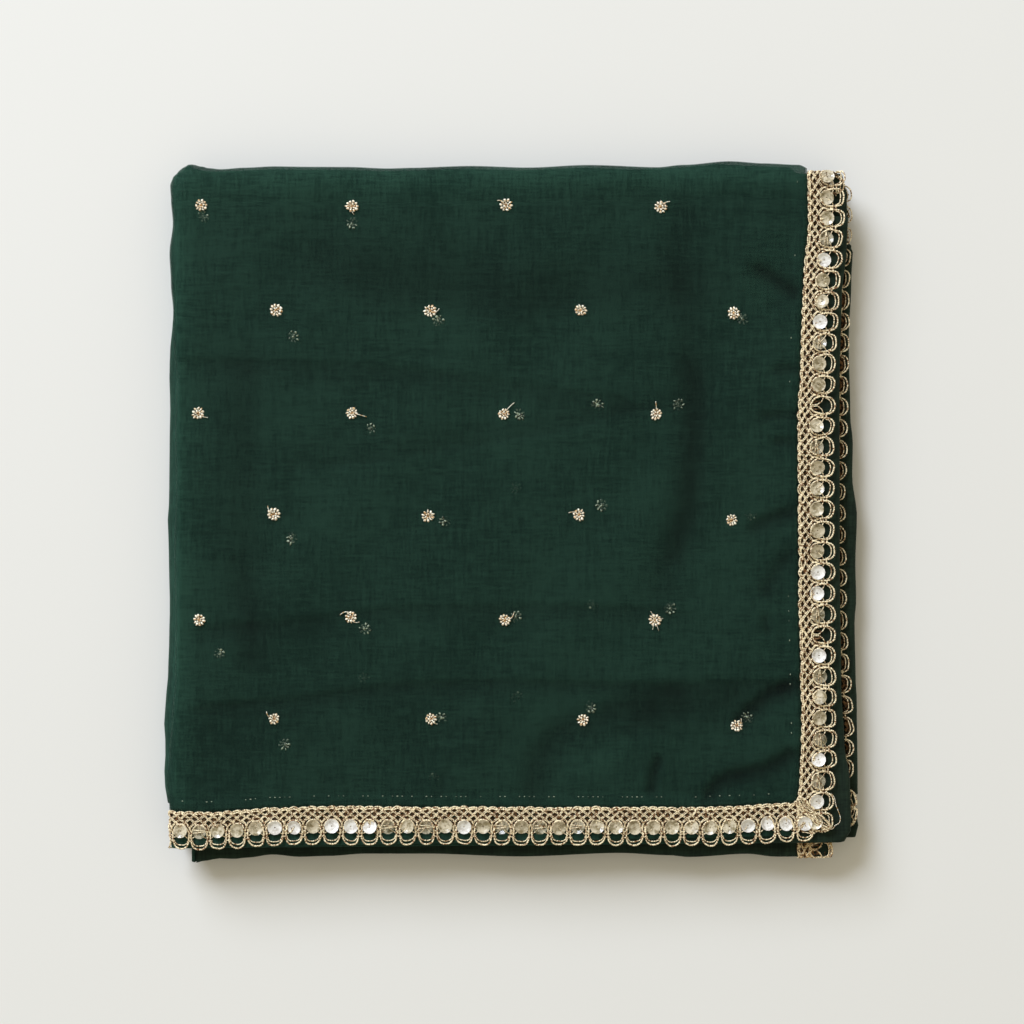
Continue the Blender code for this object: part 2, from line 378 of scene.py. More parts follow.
# Rough reach of a pass: where it starts at the left, and how long it is.
FIRST_RUN = (-FOLD_REACH, 292.0)
LAST_RUN = (-150.0, 299.0)
MIDDLE_RUN = (-FOLD_REACH, 312.0)
TUCKED_IN = 0.9
TUCK_LIMIT = 132.0
FRONT_CORNER = -149.0
print("the strip is", round(EDGES[0][2] - EDGES[0][1], 1), "mm wide where it starts")

# %% The section
def edge_reach(station, column):
    kind, index, share = station
    first, second = EDGES[index + (kind == "turn")][column], EDGES[index + 1][column]
    return first + (second - first) * (share if kind == "pass" else 0.0)


def rough_x(station):
    """A first guess of how far along the pack a station lies, to read the outlines with."""
    kind, index, share = station
    if kind == "turn":
        return TURNS[index][1] * FOLD_REACH
    start, length = {0: FIRST_RUN, len(PASSES) - 1: LAST_RUN}.get(index, MIDDLE_RUN)
    return start + length * (share if index % 2 else 1.0 - share)


def strip_edges(station):
    """The four edges at a station, with the measured outlines where they show."""
    kind, index, _ = station
    x = rough_x(station)
    edges = [edge_reach(station, column) for column in range(4)]
    if index == 0:
        edges[0] = read_table(PANEL_SOUTH_EDGE, x)
        edges[2] = read_table(TOP_NORTH, x)
    if kind == "pass" and index == 1 and x < TUCK_LIMIT:
        edges[2] = read_table(TOP_NORTH, x) - TUCKED_IN
    if kind == "pass" and index == len(PASSES) - 1:
        edges[1] = read_table(FRONT_FOLD_SOUTH, x)
    if kind == "turn" and index == len(TURNS) - 1:
        edges[1] = read_table(FRONT_FOLD_SOUTH, FRONT_CORNER)
    return edges


def section(station, width_stations):
    """Across the strip: how far across, how far above its middle, and on which panel."""
    near_free, near_fold, far_fold, far_free = strip_edges(station)
    radius = PANEL_GAP / 2
    near, far = near_fold + radius, far_fold - radius
    rows = []
    for part, share in width_stations:
        sine, cosine = math.sin(math.pi * share), math.cos(math.pi * share)
        parts = (
            (near_free + (far - near_free) * share, PANEL_GAP, 0.0),
            (far + radius * sine, radius + radius * cosine, share),
            (far + (near - far) * share, 0.0, 1.0),
            (near - radius * sine, radius * (cosine - 1), 1 + share),
            (near + (far_free - near) * share, -PANEL_GAP, 2.0),
        )
        rows.append(parts[part])
    return np.array(rows).T

# %% [markdown]
# ### How the pack settles
#
# A soft pack is thinner towards its edges, rolls over at its folds, and keeps some of the
# creases that storing and carrying pressed into it. Each row of `CREASES` is one soft hollow:
# how gently it fades on its left and on its right as one walks along it, how deep it is, and
# its points. A hollow that is steep on one side looks like the edge of a layer below, and a
# negative depth makes a ridge. The same relief moves every layer, the top ones most, so that
# the layers stay clear of each other. The depth is kept on the cloth as an attribute too,
# because light is lost in a hollow of a sheer cloth long before its slope shows.

# %% Creases
# The same depths are also painted on the cloth's colour: painted shade in the hollows, painted light
# along the ridges.
CREASES = (
    # fades over this much to the left, to the right, depth, then the points
    (2.0, 8.5, 0.30, (-159, 70.5), (-116, 69.8), (-56, 67.2), (8, 58.8), (52, 52.1)),
    (8.5, 2.0, 0.26, (-99, 20.3), (-56, 25.3), (-19, 32), (21, 38.7), (52, 47.1), (74, 48)),
    (9.0, 9.0, 0.34, (80, 137), (75.6, 117), (81.7, 84), (85.7, 50), (82.3, 0), (70, -36)),
    (5.0, 8.0, 0.50, (84, 66), (86, 50), (84.5, 24), (82.3, 0), (76, -20)),
    (1.8, 7.5, 0.36, (-146, -55), (-102, -51.7), (-56, -45.7), (21, -45), (75, -46.7)),
    (1.8, 6.0, 0.42, (-146, -92), (-102, -88.5), (-56, -81.8), (-5, -80.2), (52, -81.8), (128, -81)),
    (10.0, 10.0, 0.38, (-127, 67), (-128, 17), (-126, -33), (-123, -67)),
    (6.0, 8.0, 0.14, (-128, -28), (-126, -45), (-122, -68)),
    (16.0, 14.0, 0.42, (-88, 117), (-56, 113), (-10, 107), (40, 105), (84, 107)),
    (9.0, 9.0, -0.24, (-148, 147), (-60, 149), (10, 149)),
    (9.0, 8.0, 0.16, (-70, 104), (-20, 95), (20, 97)),
    (6.0, 8.0, -0.75, (-156, 158), (-60, 158), (40, 159), (134, 159)),
    (7.0, 4.0, -0.60, (-157, 158), (-156, 60), (-156, -50), (-158, -134)),
    (1.7, 2.2, -0.55, (-158, 152), (-157.3, 60), (-157.3, -40), (-160, -132)),
    (14.0, 20.0, 0.14, (-140, -104), (-60, -98), (-10, -100)),
    (3.6, 4.8, 0.95, (116, 114), (132, 104)),
    (2.2, 3.4, 0.60, (124.5, 67.2), (132, 67.2)),
    (2.4, 3.4, 0.60, (118.5, 45.4), (132, 45.4)),
    (2.2, 3.2, 0.70, (124.5, 33), (131.2, 33)),
    (2.8, 4.6, 0.80, (113.5, -6.5), (123, -2.5), (130.2, 0.2)),
    (4.2, 4.2, 0.60, (130.2, -19.9), (124, -27), (118.5, -36.6)),
    (2.0, 2.0, 0.55, (118.5, -50), (119.1, -56.7)),
    (2.6, 6.0, 0.90, (106, -98), (113, -91), (120, -85.5), (132, -80.1)),
    (2.6, 6.0, 1.00, (91.7, -132), (96, -127), (102, -123.7), (118.5, -120.3), (130.2, -113.6)),
    (2.6, 2.0, 0.90, (64.9, -131), (66, -124), (68.3, -117)),
    (6.0, 9.0, 0.60, (8, -131), (11, -117), (21, -103.6), (41.5, -95), (65, -88.5), (75, -85)),
    (7.0, 11.0, 0.46, (62, -98), (84, -92), (104, -90)),
    (5.0, 5.0, 0.50, (147, -70), (151, -110), (153, -152)),
    (2.4, 2.4, 0.30, (-35.5, -133.7), (-32.2, -123.7)),
    (2.2, 2.2, 0.20, (-88.5, -132), (-89, -124)),
    (6.0, 6.0, -0.22, (30, -124), (45, -116), (62, -108)),
)
HEM_WIDTH = 4.6
HEM_RISE = 0.22
HEM_STEP = 0.8
ROLL_DEPTH = 1.3
ROLL_WIDTH = 7.0
WEST_ROLL = -163.0
NORTH_ROLL = 165.0
WAVES = (
    # height, wavelength along x, wavelength along y, where it starts
    (0.26, 131.0, 173.0, 0.4),
    (0.20, 74.0, -96.0, 2.1),
    (0.10, -47.0, 61.0, 4.0),
    (0.05, 29.0, 38.0, 1.2),
)
print(len(CREASES), "creases, the deepest", max(depth for _, _, depth, *_ in CREASES), "mm")

# %% Hollows and waves
def trough(x, y, left, right, points):
    """1 along the line of a hollow, fading to 0 at its sides and beyond its ends."""
    nearest = np.full_like(x, 1e9)
    for (x0, y0), (x1, y1) in zip(points, points[1:]):
        run_x, run_y = x1 - x0, y1 - y0
        share = np.clip(((x - x0) * run_x + (y - y0) * run_y) / (run_x**2 + run_y**2), 0.0, 1.0)
        away_x, away_y = x - x0 - share * run_x, y - y0 - share * run_y
        width = np.where(run_x * away_y - run_y * away_x > 0, left, right)
        nearest = np.minimum(nearest, (away_x**2 + away_y**2) / width**2)
    return np.exp(-nearest)


def hollows(x, y):
    """How deep the creases are at a place, in millimetres."""
    depth = np.zeros_like(x)
    for left, right, deepest, *points in CREASES:
        depth += deepest * trough(x, y, left, right, points)
    return depth


def hem_height(x, y):
    """The turned hem along the two free edges stands a little higher."""
    from_side = y - read_table(PANEL_SOUTH_EDGE, x)
    from_end = read_table(PANEL_EAST_EDGE, y) - x
    inside = np.minimum(from_side, from_end)
    return HEM_RISE * np.clip((HEM_WIDTH - inside) / HEM_STEP + 0.5, 0.0, 1.0)


def relief(x, y):
    """How far the top of the pack stands above or below an even sag, in millimetres."""
    height = hem_height(x, y) - hollows(x, y)
    for size, along_x, along_y, start in WAVES:
        height += size * np.sin(2 * math.pi * (x / along_x + y / along_y) + start)
    for from_roll in (x - WEST_ROLL, y - NORTH_ROLL):
        height -= ROLL_DEPTH * np.exp(-((from_roll / ROLL_WIDTH) ** 2))
    return height

# %% The pack at rest
def settle(x, y, z):
    """Lets the pack sag and take its creases. Gives metres."""
    x, y = np.asarray(x, float), np.asarray(y, float)
    sag = SAG * ((x / HALF) ** 2 + (y / HALF) ** 2) / 2
    lowered = z * (1 - sag) + relief(x, y) * z / PACK_HEIGHT
    return np.stack([x, y, np.maximum(lowered, CLOTH_THICKNESS / 2)], axis=-1) * MM


def lay_out(length_stations, width_stations):
    """Where a grid of places on the flat stole lies in the folded pack."""
    rows = []
    for station in length_stations:
        y, above, panel = section(station, width_stations)
        x, z, out, up = course(station, y, panel)
        rows.append(settle(x + out * above, y, z + up * above))
    return np.array(rows)


def on_panel(x, y, lift=0.0, below=0.0):
    """A place on the face of the top panel, or of a panel this far below it."""
    return settle(x, y, pass_height(0, x) + PANEL_GAP - below + CLOTH_THICKNESS / 2 + lift)


def shares(start, end, count):
    return [start + (end - start) * step / count for step in range(count + 1)]


print(f"middle of the top panel: {on_panel(0.0, 0.0)[2] / MM:.1f} mm above the table")

# %% [markdown]
# ## The georgette
#
# Georgette is a light crepe: its yarns are twisted so hard that they buckle, which gives the
# cloth a dry, pebbled face, a soft edge of light at grazing angles, and enough gaps between the
# yarns to see through. The real yarns lie four to the millimetre, too fine to show here, so the
# grain is drawn about three times coarser. The sheer cloth is a shader whose alpha lets a
# little of what lies below show through. Inside the pack the cloth is many layers thick and is
# left solid.

# %% Georgette
YARN_SPACING = 0.8 * MM
SLUB_SPACING = 2.2 * MM
CLOUD_SIZE = 34 * MM
# How narrow a yarn and a slub are for their length.
YARN_NARROWNESS = 0.10
SLUB_NARROWNESS = 0.03
# How much the grain and the slubs count beside the clouds, and the sums that are darkest and
# lightest.
GRAIN_SHARE = 1.1
SLUB_SHARE = 0.45
TONE_LIMITS = (1.74, 2.34)
PEBBLE_HEIGHT = 0.10 * MM
CLOTH_DARK = "122b22"
CLOTH_LIGHT = "203d31"
SHEER_ALPHA = 0.55
HOLLOW_SHADE = 0.62


def two_tones(tree, pattern, low, high, dark, light):
    """A colour that goes from dark to light between these two values of a pattern."""
    limits = {"Value": pattern, "From Min": low, "From Max": high}
    share = add_node(tree, "ShaderNodeMapRange", limits)
    tones = {"Factor": share, 6: colour(dark), 7: colour(light)}
    return add_node(tree, "ShaderNodeMix", tones, data_type="RGBA")


def crossed_noise(tree, place, narrow, size, detail):
    """Noise drawn out along x plus noise drawn out along y, like two sets of yarns."""
    runs = []
    for stretch in ((narrow, 1.0, 1.0), (1.0, narrow, 1.0)):
        run = add_node(tree, "ShaderNodeMapping", {"Vector": place, "Scale": stretch})
        noise = {"Vector": run, "Scale": 1 / size, "Detail": detail}
        runs.append(add_node(tree, "ShaderNodeTexNoise", noise))
    return add_node(tree, "ShaderNodeMath", {0: runs[0], 1: runs[1]}, operation="ADD")


def make_georgette(name, alpha, dark=CLOTH_DARK, light=CLOTH_LIGHT):
    """Crepe silk: dry and pebbled, with faint slubs and a soft sheen at grazing angles."""
    dry = {"Roughness": 0.85, "Specular IOR Level": 0.15, "Alpha": alpha}
    sheen = {"Sheen Weight": 0.15, "Sheen Roughness": 0.5, "Sheen Tint": colour("86a893")}
    material, tree, shader = new_material(name, {**dry, **sheen})
    add = partial(add_node, tree)
    place = add("ShaderNodeTexCoord").outputs["Object"]
    cloud = add("ShaderNodeTexNoise", {"Vector": place, "Scale": 1 / CLOUD_SIZE, "Detail": 3.0})
    grain = crossed_noise(tree, place, YARN_NARROWNESS, YARN_SPACING, 1.0)
    slubs = crossed_noise(tree, place, SLUB_NARROWNESS, SLUB_SPACING, 2.0)
    tone = add("ShaderNodeMath", {0: grain, 1: GRAIN_SHARE, 2: cloud}, operation="MULTIPLY_ADD")
    woven = add("ShaderNodeMath", {0: slubs, 1: SLUB_SHARE, 2: tone}, operation="MULTIPLY_ADD")
    base = two_tones(tree, woven, *TONE_LIMITS, dark, light)
    # Painted shade and light: the crease depth kept on the cloth darkens the colour in a hollow and
    # lightens it on a ridge.
    hollow = add("ShaderNodeAttribute", attribute_name="hollow").outputs["Fac"]
    shade = {0: hollow, 1: -HOLLOW_SHADE, 2: 1.0}
    kept_light = add("ShaderNodeMath", shade, operation="MULTIPLY_ADD")
    shaded = add("ShaderNodeVectorMath", {0: base, "Scale": kept_light}, operation="SCALE")
    bumps = {"Height": grain, "Strength": 0.3, "Distance": PEBBLE_HEIGHT}
    pebble = add("ShaderNodeBump", bumps)
    tree.links.new(shaded.outputs[0], shader.inputs["Base Color"])
    tree.links.new(pebble.outputs["Normal"], shader.inputs["Normal"])
    return material


# The panel on top lets through a fifth of what lies below, and its creases darken it with painted
# shade. Inside the pack nothing shines through. The folds that look out get a browner, darker copy
# of the cloth: painted shade for the light that the layers above them hold back.
sheer_georgette = make_georgette("sheer_crepe_georgette", SHEER_ALPHA)
layered_georgette = make_georgette("layered_crepe_georgette", 1.0)
shaded_fold_georgette = make_georgette("folded_crepe_georgette", 1.0, "131f17", "202f23")
print("nodes in one georgette:", len(sheer_georgette.node_tree.nodes))

# %% [markdown]
# ## The cloth
#
# Each stretch of cloth is a grid of places laid out by the fold, joined with four-sided faces,
# and given its thickness by a Solidify modifier. The top panel has a fine grid, because its
# creases show. The folds that look out at the lace side and at the front are pieces of their
# own, and all that is inside the pack is one coarser sheet.

# %% From places to cloth
def make_cloth(name, blocks, material):
    """Joins blocks of (length stations, width stations) into one sheet with a thickness."""
    points, faces = [], []
    for length_stations, width_stations in blocks:
        grid = lay_out(length_stations, width_stations)
        rows, columns, _ = grid.shape
        first = len(points)
        points += grid.reshape(-1, 3).tolist()
        for row in range(rows - 1):
            for column in range(columns - 1):
                here = first + row * columns + column
                faces.append((here, here + 1, here + columns + 1, here + columns))
    piece = show_mesh(name, points, faces)
    piece.data.materials.append(material)
    x, y, _ = np.array(points).T / MM
    hollow = piece.data.attributes.new("hollow", "FLOAT", "POINT")
    hollow.data.foreach_set("value", hollows(x, y).astype(np.float32))
    wall = piece.modifiers.new("cloth thickness", "SOLIDIFY")
    wall.thickness = CLOTH_THICKNESS * MM
    wall.offset = 0.0
    finished = made_plain(piece)
    area = sum(face.area for face in finished.data.polygons) / 2
    print(f"{name}: {len(finished.data.polygons)} faces, {area:.4f} square metres")
    return finished


def made_plain(piece):
    """Replaces an object and its modifiers by the plain mesh that they make."""
    graph = bpy.context.evaluated_depsgraph_get()
    mesh = bpy.data.meshes.new_from_object(piece.evaluated_get(graph))
    name = piece.name
    bpy.data.objects.remove(piece)
    mesh.shade_smooth()
    return show(name, mesh)


def ride_as(piece, slot, *nodes):
    """The piece goes with the pack and stands for these solids, which it hides. The slot is not used.
    """
    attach(piece, "root")
    if nodes:
        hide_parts(*nodes)
    return piece

# %% Stretches of the length and of the width
FINE_LENGTH = 185
FINE_WIDTH = 235
COARSE = 20
TURN_STEPS = 10
LIP = 0.05
SHOWN = 0.10


def passes(index, start, end, count):
    return [("pass", index, share) for share in shares(start, end, count)]


def turn(index, count=TURN_STEPS):
    return [("turn", index, share) for share in shares(0.0, 1.0, count)][1:-1]


def across(part, start, end, count):
    return [(part, share) for share in shares(start, end, count)]


def fold_over(part, count=6):
    return across(part, 0.0, 1.0, count)[1:-1]


def full_width(steps):
    """All three panels and both long folds."""
    panels = [across(part, 0, 1, steps) for part in (0, 2, 4)]
    return panels[0] + fold_over(1) + panels[1] + fold_over(3) + panels[2]


print("places across the full width, in coarse steps:", len(full_width(COARSE)))

# %% The top panel
top_length = passes(0, 0, 1, FINE_LENGTH) + turn(0) + passes(1, 0, LIP, 3)
top_width = across(0, 0, 1, FINE_WIDTH) + fold_over(1) + across(2, 0, LIP, 3)
top_cloth = make_cloth("top_panel_cloth", [(top_length, top_width)], sheer_georgette)
ride_as(top_cloth, "georgette", "cloth_top_panel")

# %% The folds that look out
def make_fold(name, length, width, node):
    fold = make_cloth(name, [(length, width)], shaded_fold_georgette)
    return ride_as(fold, "georgette", node)


def round_turn(index):
    """From a little before a turn of the length to a little after it."""
    return passes(index, 1 - SHOWN, 1, 8) + turn(index) + passes(index + 1, 0, SHOWN, 8)


front_width = across(2, 1 - SHOWN, 1, 8) + fold_over(3) + across(4, 0, SHOWN, 8)
second_fold = make_fold("second_fold_cloth", round_turn(1), full_width(60), "cloth_second_fold")
third_fold = make_fold("third_fold_cloth", round_turn(5), full_width(60), "cloth_third_fold")
front_fold = make_fold("front_fold_cloth", passes(7, 0, 1, 110), front_width, "cloth_front_fold")

# %% The layers inside
JOIN = 0.03
second_panel_length = passes(0, 0, 1, 100) + turn(0) + passes(1, 0, LIP, 1)
second_panel_width = across(2, LIP, 1, 100) + fold_over(3) + across(4, 0, JOIN, 1)
third_panel_length = passes(0, 0, 1, COARSE) + turn(0) + passes(1, 0, LIP, 1)
inner_blocks = [
    (second_panel_length, second_panel_width),
    (third_panel_length, across(4, JOIN, 1, 14)),
    (passes(1, LIP, 1 - SHOWN, COARSE), full_width(14)),
    (passes(2, SHOWN, 1, COARSE) + turn(2, 16) + passes(3, 0, 1, 30) + turn(3), full_width(40)),
    (passes(4, 0, 1, COARSE) + turn(4) + passes(5, 0, 1 - SHOWN, COARSE), full_width(14)),
    (passes(6, SHOWN, 1, COARSE) + turn(6), full_width(14)),
    (passes(7, 0, 1, 30), across(0, 0, 1, 14) + fold_over(1) + across(2, 0, 1 - SHOWN, 14)),
    (passes(7, 0, 1, 30), across(4, SHOWN, 1, 14)),
]
inner_layers = make_cloth("inner_layers_cloth", inner_blocks, layered_georgette)
ride_as(inner_layers, "georgette", "cloth_hidden_layers")

# %% [markdown]
# ## Lace and sequins: how a pattern follows an edge
#
# The lace is crochet worked in a firm gold thread. It is sewn to the stole by its inner edge of
# small arches. Then come two rows of open trellis, a row of sequins, and one large loop for each
# sequin. One repeat is drawn as a few open strands, seen flat, as a crochet chart shows
# it. A Geometry Nodes tree sets copies of it in a row, bends the row between two guide lines,
# which are the lace's inner and outer edge in the pack, and turns the strands into thread.
# A twisted thread is a flat profile that turns as it runs along, which needs far fewer faces
# than two plies wound round each other.

# %% A tree with named inputs
def new_tree(name, sockets):
    """A Geometry Nodes tree, its input sockets by name, and a short way to add its nodes."""
    tree = bpy.data.node_groups.new(name, "GeometryNodeTree")
    for label, kind in sockets.items():
        tree.interface.new_socket(label, in_out="INPUT", socket_type="NodeSocket" + kind)
    tree.interface.new_socket("Geometry", in_out="OUTPUT", socket_type="NodeSocketGeometry")
    entry = add_node(tree, "NodeGroupInput")
    given = {socket.name: socket for socket in entry.outputs if socket.name}
    return tree, given, partial(add_node, tree)


def shape_of(tree, thing):
    """What an object handed to a tree is made of."""
    return add_node(tree, "GeometryNodeObjectInfo", {"Object": thing}).outputs["Geometry"]


def end_tree(tree, geometry, material):
    """Ends a tree: real geometry in one material."""
    real = add_node(tree, "GeometryNodeRealizeInstances", {"Geometry": geometry})
    painted = add_node(tree, "GeometryNodeSetMaterial", {"Geometry": real, "Material": material})
    add_node(tree, "NodeGroupOutput", {"Geometry": painted})
    return tree


def grow(name, tree, values):
    """Runs a tree with these values for its inputs and keeps the mesh that it makes."""
    piece = show(name, bpy.data.meshes.new(name))
    modifier = piece.modifiers.new("pattern", "NODES")
    modifier.node_group = tree
    for item in tree.interface.items_tree:
        if item.in_out == "INPUT":
            modifier[item.identifier] = values[item.name]
    plain = made_plain(piece)
    plain.data.calc_loop_triangles()
    print(f"{name}: {len(plain.data.loop_triangles)} triangles")
    return plain


def open_lines(name, lines):
    """A curve object of open lines; each line is (thickness, points)."""
    data = bpy.data.curves.new(name, "CURVE")
    data.dimensions = "3D"
    for thickness, points in lines:
        line = data.splines.new("POLY")
        line.points.add(len(points) - 1)
        for point, place in zip(line.points, points):
            point.co = (*place, 1.0)
            point.radius = thickness
    return show(name, data)

# %% [markdown]
# ### One repeat of the crochet
#
# All strands are drawn in millimetres, from the middle of a repeat to either side and from the
# inner edge outwards. Mirroring each strand gives the other half, and strands that cross lie a
# little above or below each other.

# %% The crochet chart
REPEAT = 9.0
HALF_REPEAT = REPEAT / 2
QUARTER = REPEAT / 4
LOOP_HALF = 3.75
LOOP_START = 13.7
LACE_DEPTH = 18.1
SEQUIN_CENTRE = 9.4
CROSSING_LIFT = 0.14
BACKING_DROP = 0.75

CHART_SHARE = 0.88
OUTER_PART = 7.0


def arch(middle, half, foot, height, count=8, square=1.0):
    """A half ellipse over its middle, boxier where square is below 1. It may reach inwards."""
    angles = [math.pi * step / count for step in range(count + 1)]
    places = []
    for a in angles:
        t = math.copysign(abs(math.cos(a)) ** square, math.cos(a))
        places.append((middle - half * t, foot + height * abs(math.sin(a)) ** square))
    return places


def smoothed(points, rounds=2):
    """Cuts the corners of a line, so that a thread bends softly."""
    for _ in range(rounds):
        softer = [points[0]]
        for here, after in zip(points, points[1:]):
            softer.append(tuple(a * 0.75 + b * 0.25 for a, b in zip(here, after)))
            softer.append(tuple(a * 0.25 + b * 0.75 for a, b in zip(here, after)))
        points = [*softer, points[-1]]
    return points

# %% The strands of one repeat
def one_repeat():
    """Strands of one repeat as (thickness, lift, points). A trellis bar is two strands."""
    strands = []
    for middle in (0.0, HALF_REPEAT):
        strands.append((0.85, 0.0, arch(middle, QUARTER, 1.4, -1.05)))
        strands.append((0.7, 0.15, arch(middle, QUARTER * 0.9, 2.1, -0.8, 6)))
    for side, lift in ((1, CROSSING_LIFT), (-1, -CROSSING_LIFT)):
        outward = [(-HALF_REPEAT, 0.7), (-QUARTER, 2.1), (0.0, 3.8), (QUARTER, 5.5)]
        outward += [(HALF_REPEAT, 7.2), (4.25, 9.0), (3.75, 10.9), (4.35, 12.4)]
        crossing = [(0.0, 0.7), (QUARTER, 2.1), (HALF_REPEAT, 3.8), (6.75, 5.5), (REPEAT, 7.2)]
        for strand in (outward, crossing):
            for apart in (-0.34, 0.34):
                strands.append((0.58, lift, smoothed([(side * t, s + apart) for t, s in strand])))
        below_sequin = [(side * 0.3, 6.4), (side * 0.3, 9.6), (side * 1.7, 11.6), (side * 3.3, 12.6)]
        strands.append((0.6, -0.1, below_sequin))
    strands.append((1.1, 0.1, arch(0.0, 3.3, 9.6, -3.3, 10)))
    sides = [(-LOOP_HALF + 0.3, 9.2), (-LOOP_HALF, 12.0)]
    bow = arch(0.0, LOOP_HALF, LOOP_START, LACE_DEPTH - LOOP_START - 0.4, 14, 0.86)
    strands.append((0.98, 0.1, sides + bow + [(-t, s) for t, s in reversed(sides)]))
    strands.append((0.66, -0.1, arch(0.0, LOOP_HALF - 0.5, LOOP_START, 2.4, 12, 0.86)))
    for s in (11.2, 13.9):
        bar = [(LOOP_HALF - 0.2, s), (HALF_REPEAT, s + 0.15), (REPEAT - LOOP_HALF + 0.2, s)]
        strands.append((0.85, 0.15, bar))
    return strands


def one_backing(filled_loops=False):
    """Dark strands behind one repeat, all a little lower, as painted shade in its gaps; filled loops
    darken the loops too.
    """
    strands = []
    if filled_loops:
        for half, height in ((3.1, 2.6), (1.6, 1.2)):
            strands.append((1.9, arch(0.0, half, LOOP_START - 0.2, height)))
    for s in (2.2, 4.0, 5.8, 7.6):
        strands.append((1.6, [(step * QUARTER, s + 0.3 * (step % 2)) for step in range(-2, 3)]))
    for side in (1, -1):
        strands.append((1.5, [(side * QUARTER, 1.6), (side * QUARTER, 8.6)]))
        strands.append((1.5, [(side * 1.6, 7.6), (side * 1.5, 10.6)]))
        strands.append((1.6, [(side * 3.9, 7.6), (side * 4.2, 14.2)]))
    strands.append((1.5, [(0.0, 1.2), (0.0, 10.6)]))
    return [(thickness, -BACKING_DROP, points) for thickness, points in strands]

# %% Repeats as curves
def chart_lines(name, strands, inner_limit=0.0, finer=1.0):
    """A repeat as a curve object, leaving out what lies further in than the limit."""
    lines = []
    for thickness, lift, points in strands:
        kept = [(t * MM, s * MM, lift * MM) for t, s in points if s >= inner_limit]
        if len(kept) > 1:
            lines.append((thickness * finer, kept))
    return open_lines(name, lines)


full_repeat = chart_lines("full_repeat", one_repeat())
outer_repeat = chart_lines("outer_repeat", one_repeat(), OUTER_PART, CHART_SHARE)
backing_repeat = chart_lines("backing_repeat", one_backing())
outer_backing = chart_lines("outer_backing", one_backing(filled_loops=True), OUTER_PART)
print("strands in one repeat:", len(one_repeat()), "and behind it:", len(one_backing()))

# %% [markdown]
# ### The bending
#
# A place in the flat row of repeats has three numbers: how far along, how far out and how high.
# The tree reads both guide lines at the share of the way along, goes from one guide to the other
# by the share of the way out, and stands off by the height. A little noise moves the strands,
# because crochet is never quite even.

# %% Trees that bend a row
def stray(tree, place, size, detail, unevenness):
    """A soft wander that changes over this many millimetres along the piece."""
    noise = {"Vector": place, "Scale": 1 / (size * MM), "Detail": detail}
    cloud = add_node(tree, "ShaderNodeTexNoise", noise).outputs["Color"]
    halves = {0: cloud, 1: (0.5, 0.5, 0.5)}
    centred = add_node(tree, "ShaderNodeVectorMath", halves, operation="SUBTRACT")
    wander = {0: centred, "Scale": unevenness}
    return add_node(tree, "ShaderNodeVectorMath", wander, operation="SCALE")


def bend_between_edges(tree, given, place):
    """The bent place, and the direction that stands off the lace there."""
    add = partial(add_node, tree)
    split = add("ShaderNodeSeparateXYZ", {"Vector": place})
    whole = {0: given["Repeats"], 1: given["Repeat Length"]}
    row_length = add("ShaderNodeMath", whole, operation="MULTIPLY")
    along = add("ShaderNodeMath", {0: split.outputs["X"], 1: row_length}, operation="DIVIDE")
    out = add("ShaderNodeMath", {0: split.outputs["Y"], 1: given["Lace Depth"]}, operation="DIVIDE")
    edges = []
    for label in ("Inner Edge", "Outer Edge"):
        reading = {"Curves": shape_of(tree, given[label]), "Factor": along}
        edges.append(add("GeometryNodeSampleCurve", reading, mode="FACTOR"))
    inner, outer = (edge.outputs["Position"] for edge in edges)
    between = add("ShaderNodeVectorMath", {0: outer, 1: inner}, operation="SUBTRACT")
    reach_out = add("ShaderNodeVectorMath", {0: between, "Scale": out}, operation="SCALE")
    sides = {0: between, 1: edges[0].outputs["Tangent"]}
    square = add("ShaderNodeVectorMath", sides, operation="CROSS_PRODUCT")
    upright = add("ShaderNodeVectorMath", {0: square}, operation="NORMALIZE")
    height = {0: upright, "Scale": split.outputs["Z"]}
    lift = add("ShaderNodeVectorMath", height, operation="SCALE")
    bent = inner
    for step in (reach_out, lift, stray(tree, place, 7, 1.0, given["Unevenness"])):
        bent = add("ShaderNodeVectorMath", {0: bent, 1: step}, operation="ADD")
    return bent, upright

# %% A row of points and a twisted thread
ROW_SOCKETS = {
    "Repeats": "Int",
    "Repeat Length": "Float",
    "Lace Depth": "Float",
    "Inner Edge": "Object",
    "Outer Edge": "Object",
    "Unevenness": "Float",
    "Material": "Material",
}


def row_of_points(tree, given, out):
    """One point for each repeat, in the middle of it and this far out."""
    add = partial(add_node, tree)
    step = given["Repeat Length"]
    middle = add("ShaderNodeMath", {0: step, 1: 0.5}, operation="MULTIPLY")
    start = add("ShaderNodeCombineXYZ", {"X": middle, "Y": out})
    offset = add("ShaderNodeCombineXYZ", {"X": step})
    row = {"Count": given["Repeats"], "Start Location": start, "Offset": offset}
    return add("GeometryNodeMeshLine", row, mode="OFFSET")


def twisted_thread(tree, lines, radius, twist_length, flatness):
    """Gives lines the body of a twisted thread, thicker where their points' radius is larger."""
    add = partial(add_node, tree)
    run = add("GeometryNodeSplineParameter").outputs["Length"]
    turns = add("ShaderNodeMath", {0: run, 1: twist_length}, operation="DIVIDE")
    angle = add("ShaderNodeMath", {0: turns, 1: 2 * math.pi}, operation="MULTIPLY")
    twisted = add("GeometryNodeSetCurveTilt", {"Curve": lines, "Tilt": angle})
    circle = add("GeometryNodeCurvePrimitiveCircle", {"Resolution": 6, "Radius": radius})
    flat = add("GeometryNodeTransform", {"Geometry": circle, "Scale": (1.0, flatness, 1.0)})
    thickness = add("GeometryNodeInputRadius")
    body = {"Curve": twisted, "Profile Curve": flat, "Scale": thickness, "Fill Caps": True}
    return add("GeometryNodeCurveToMesh", body)

# %% The thread tree
THREAD_FLATNESS = 0.6


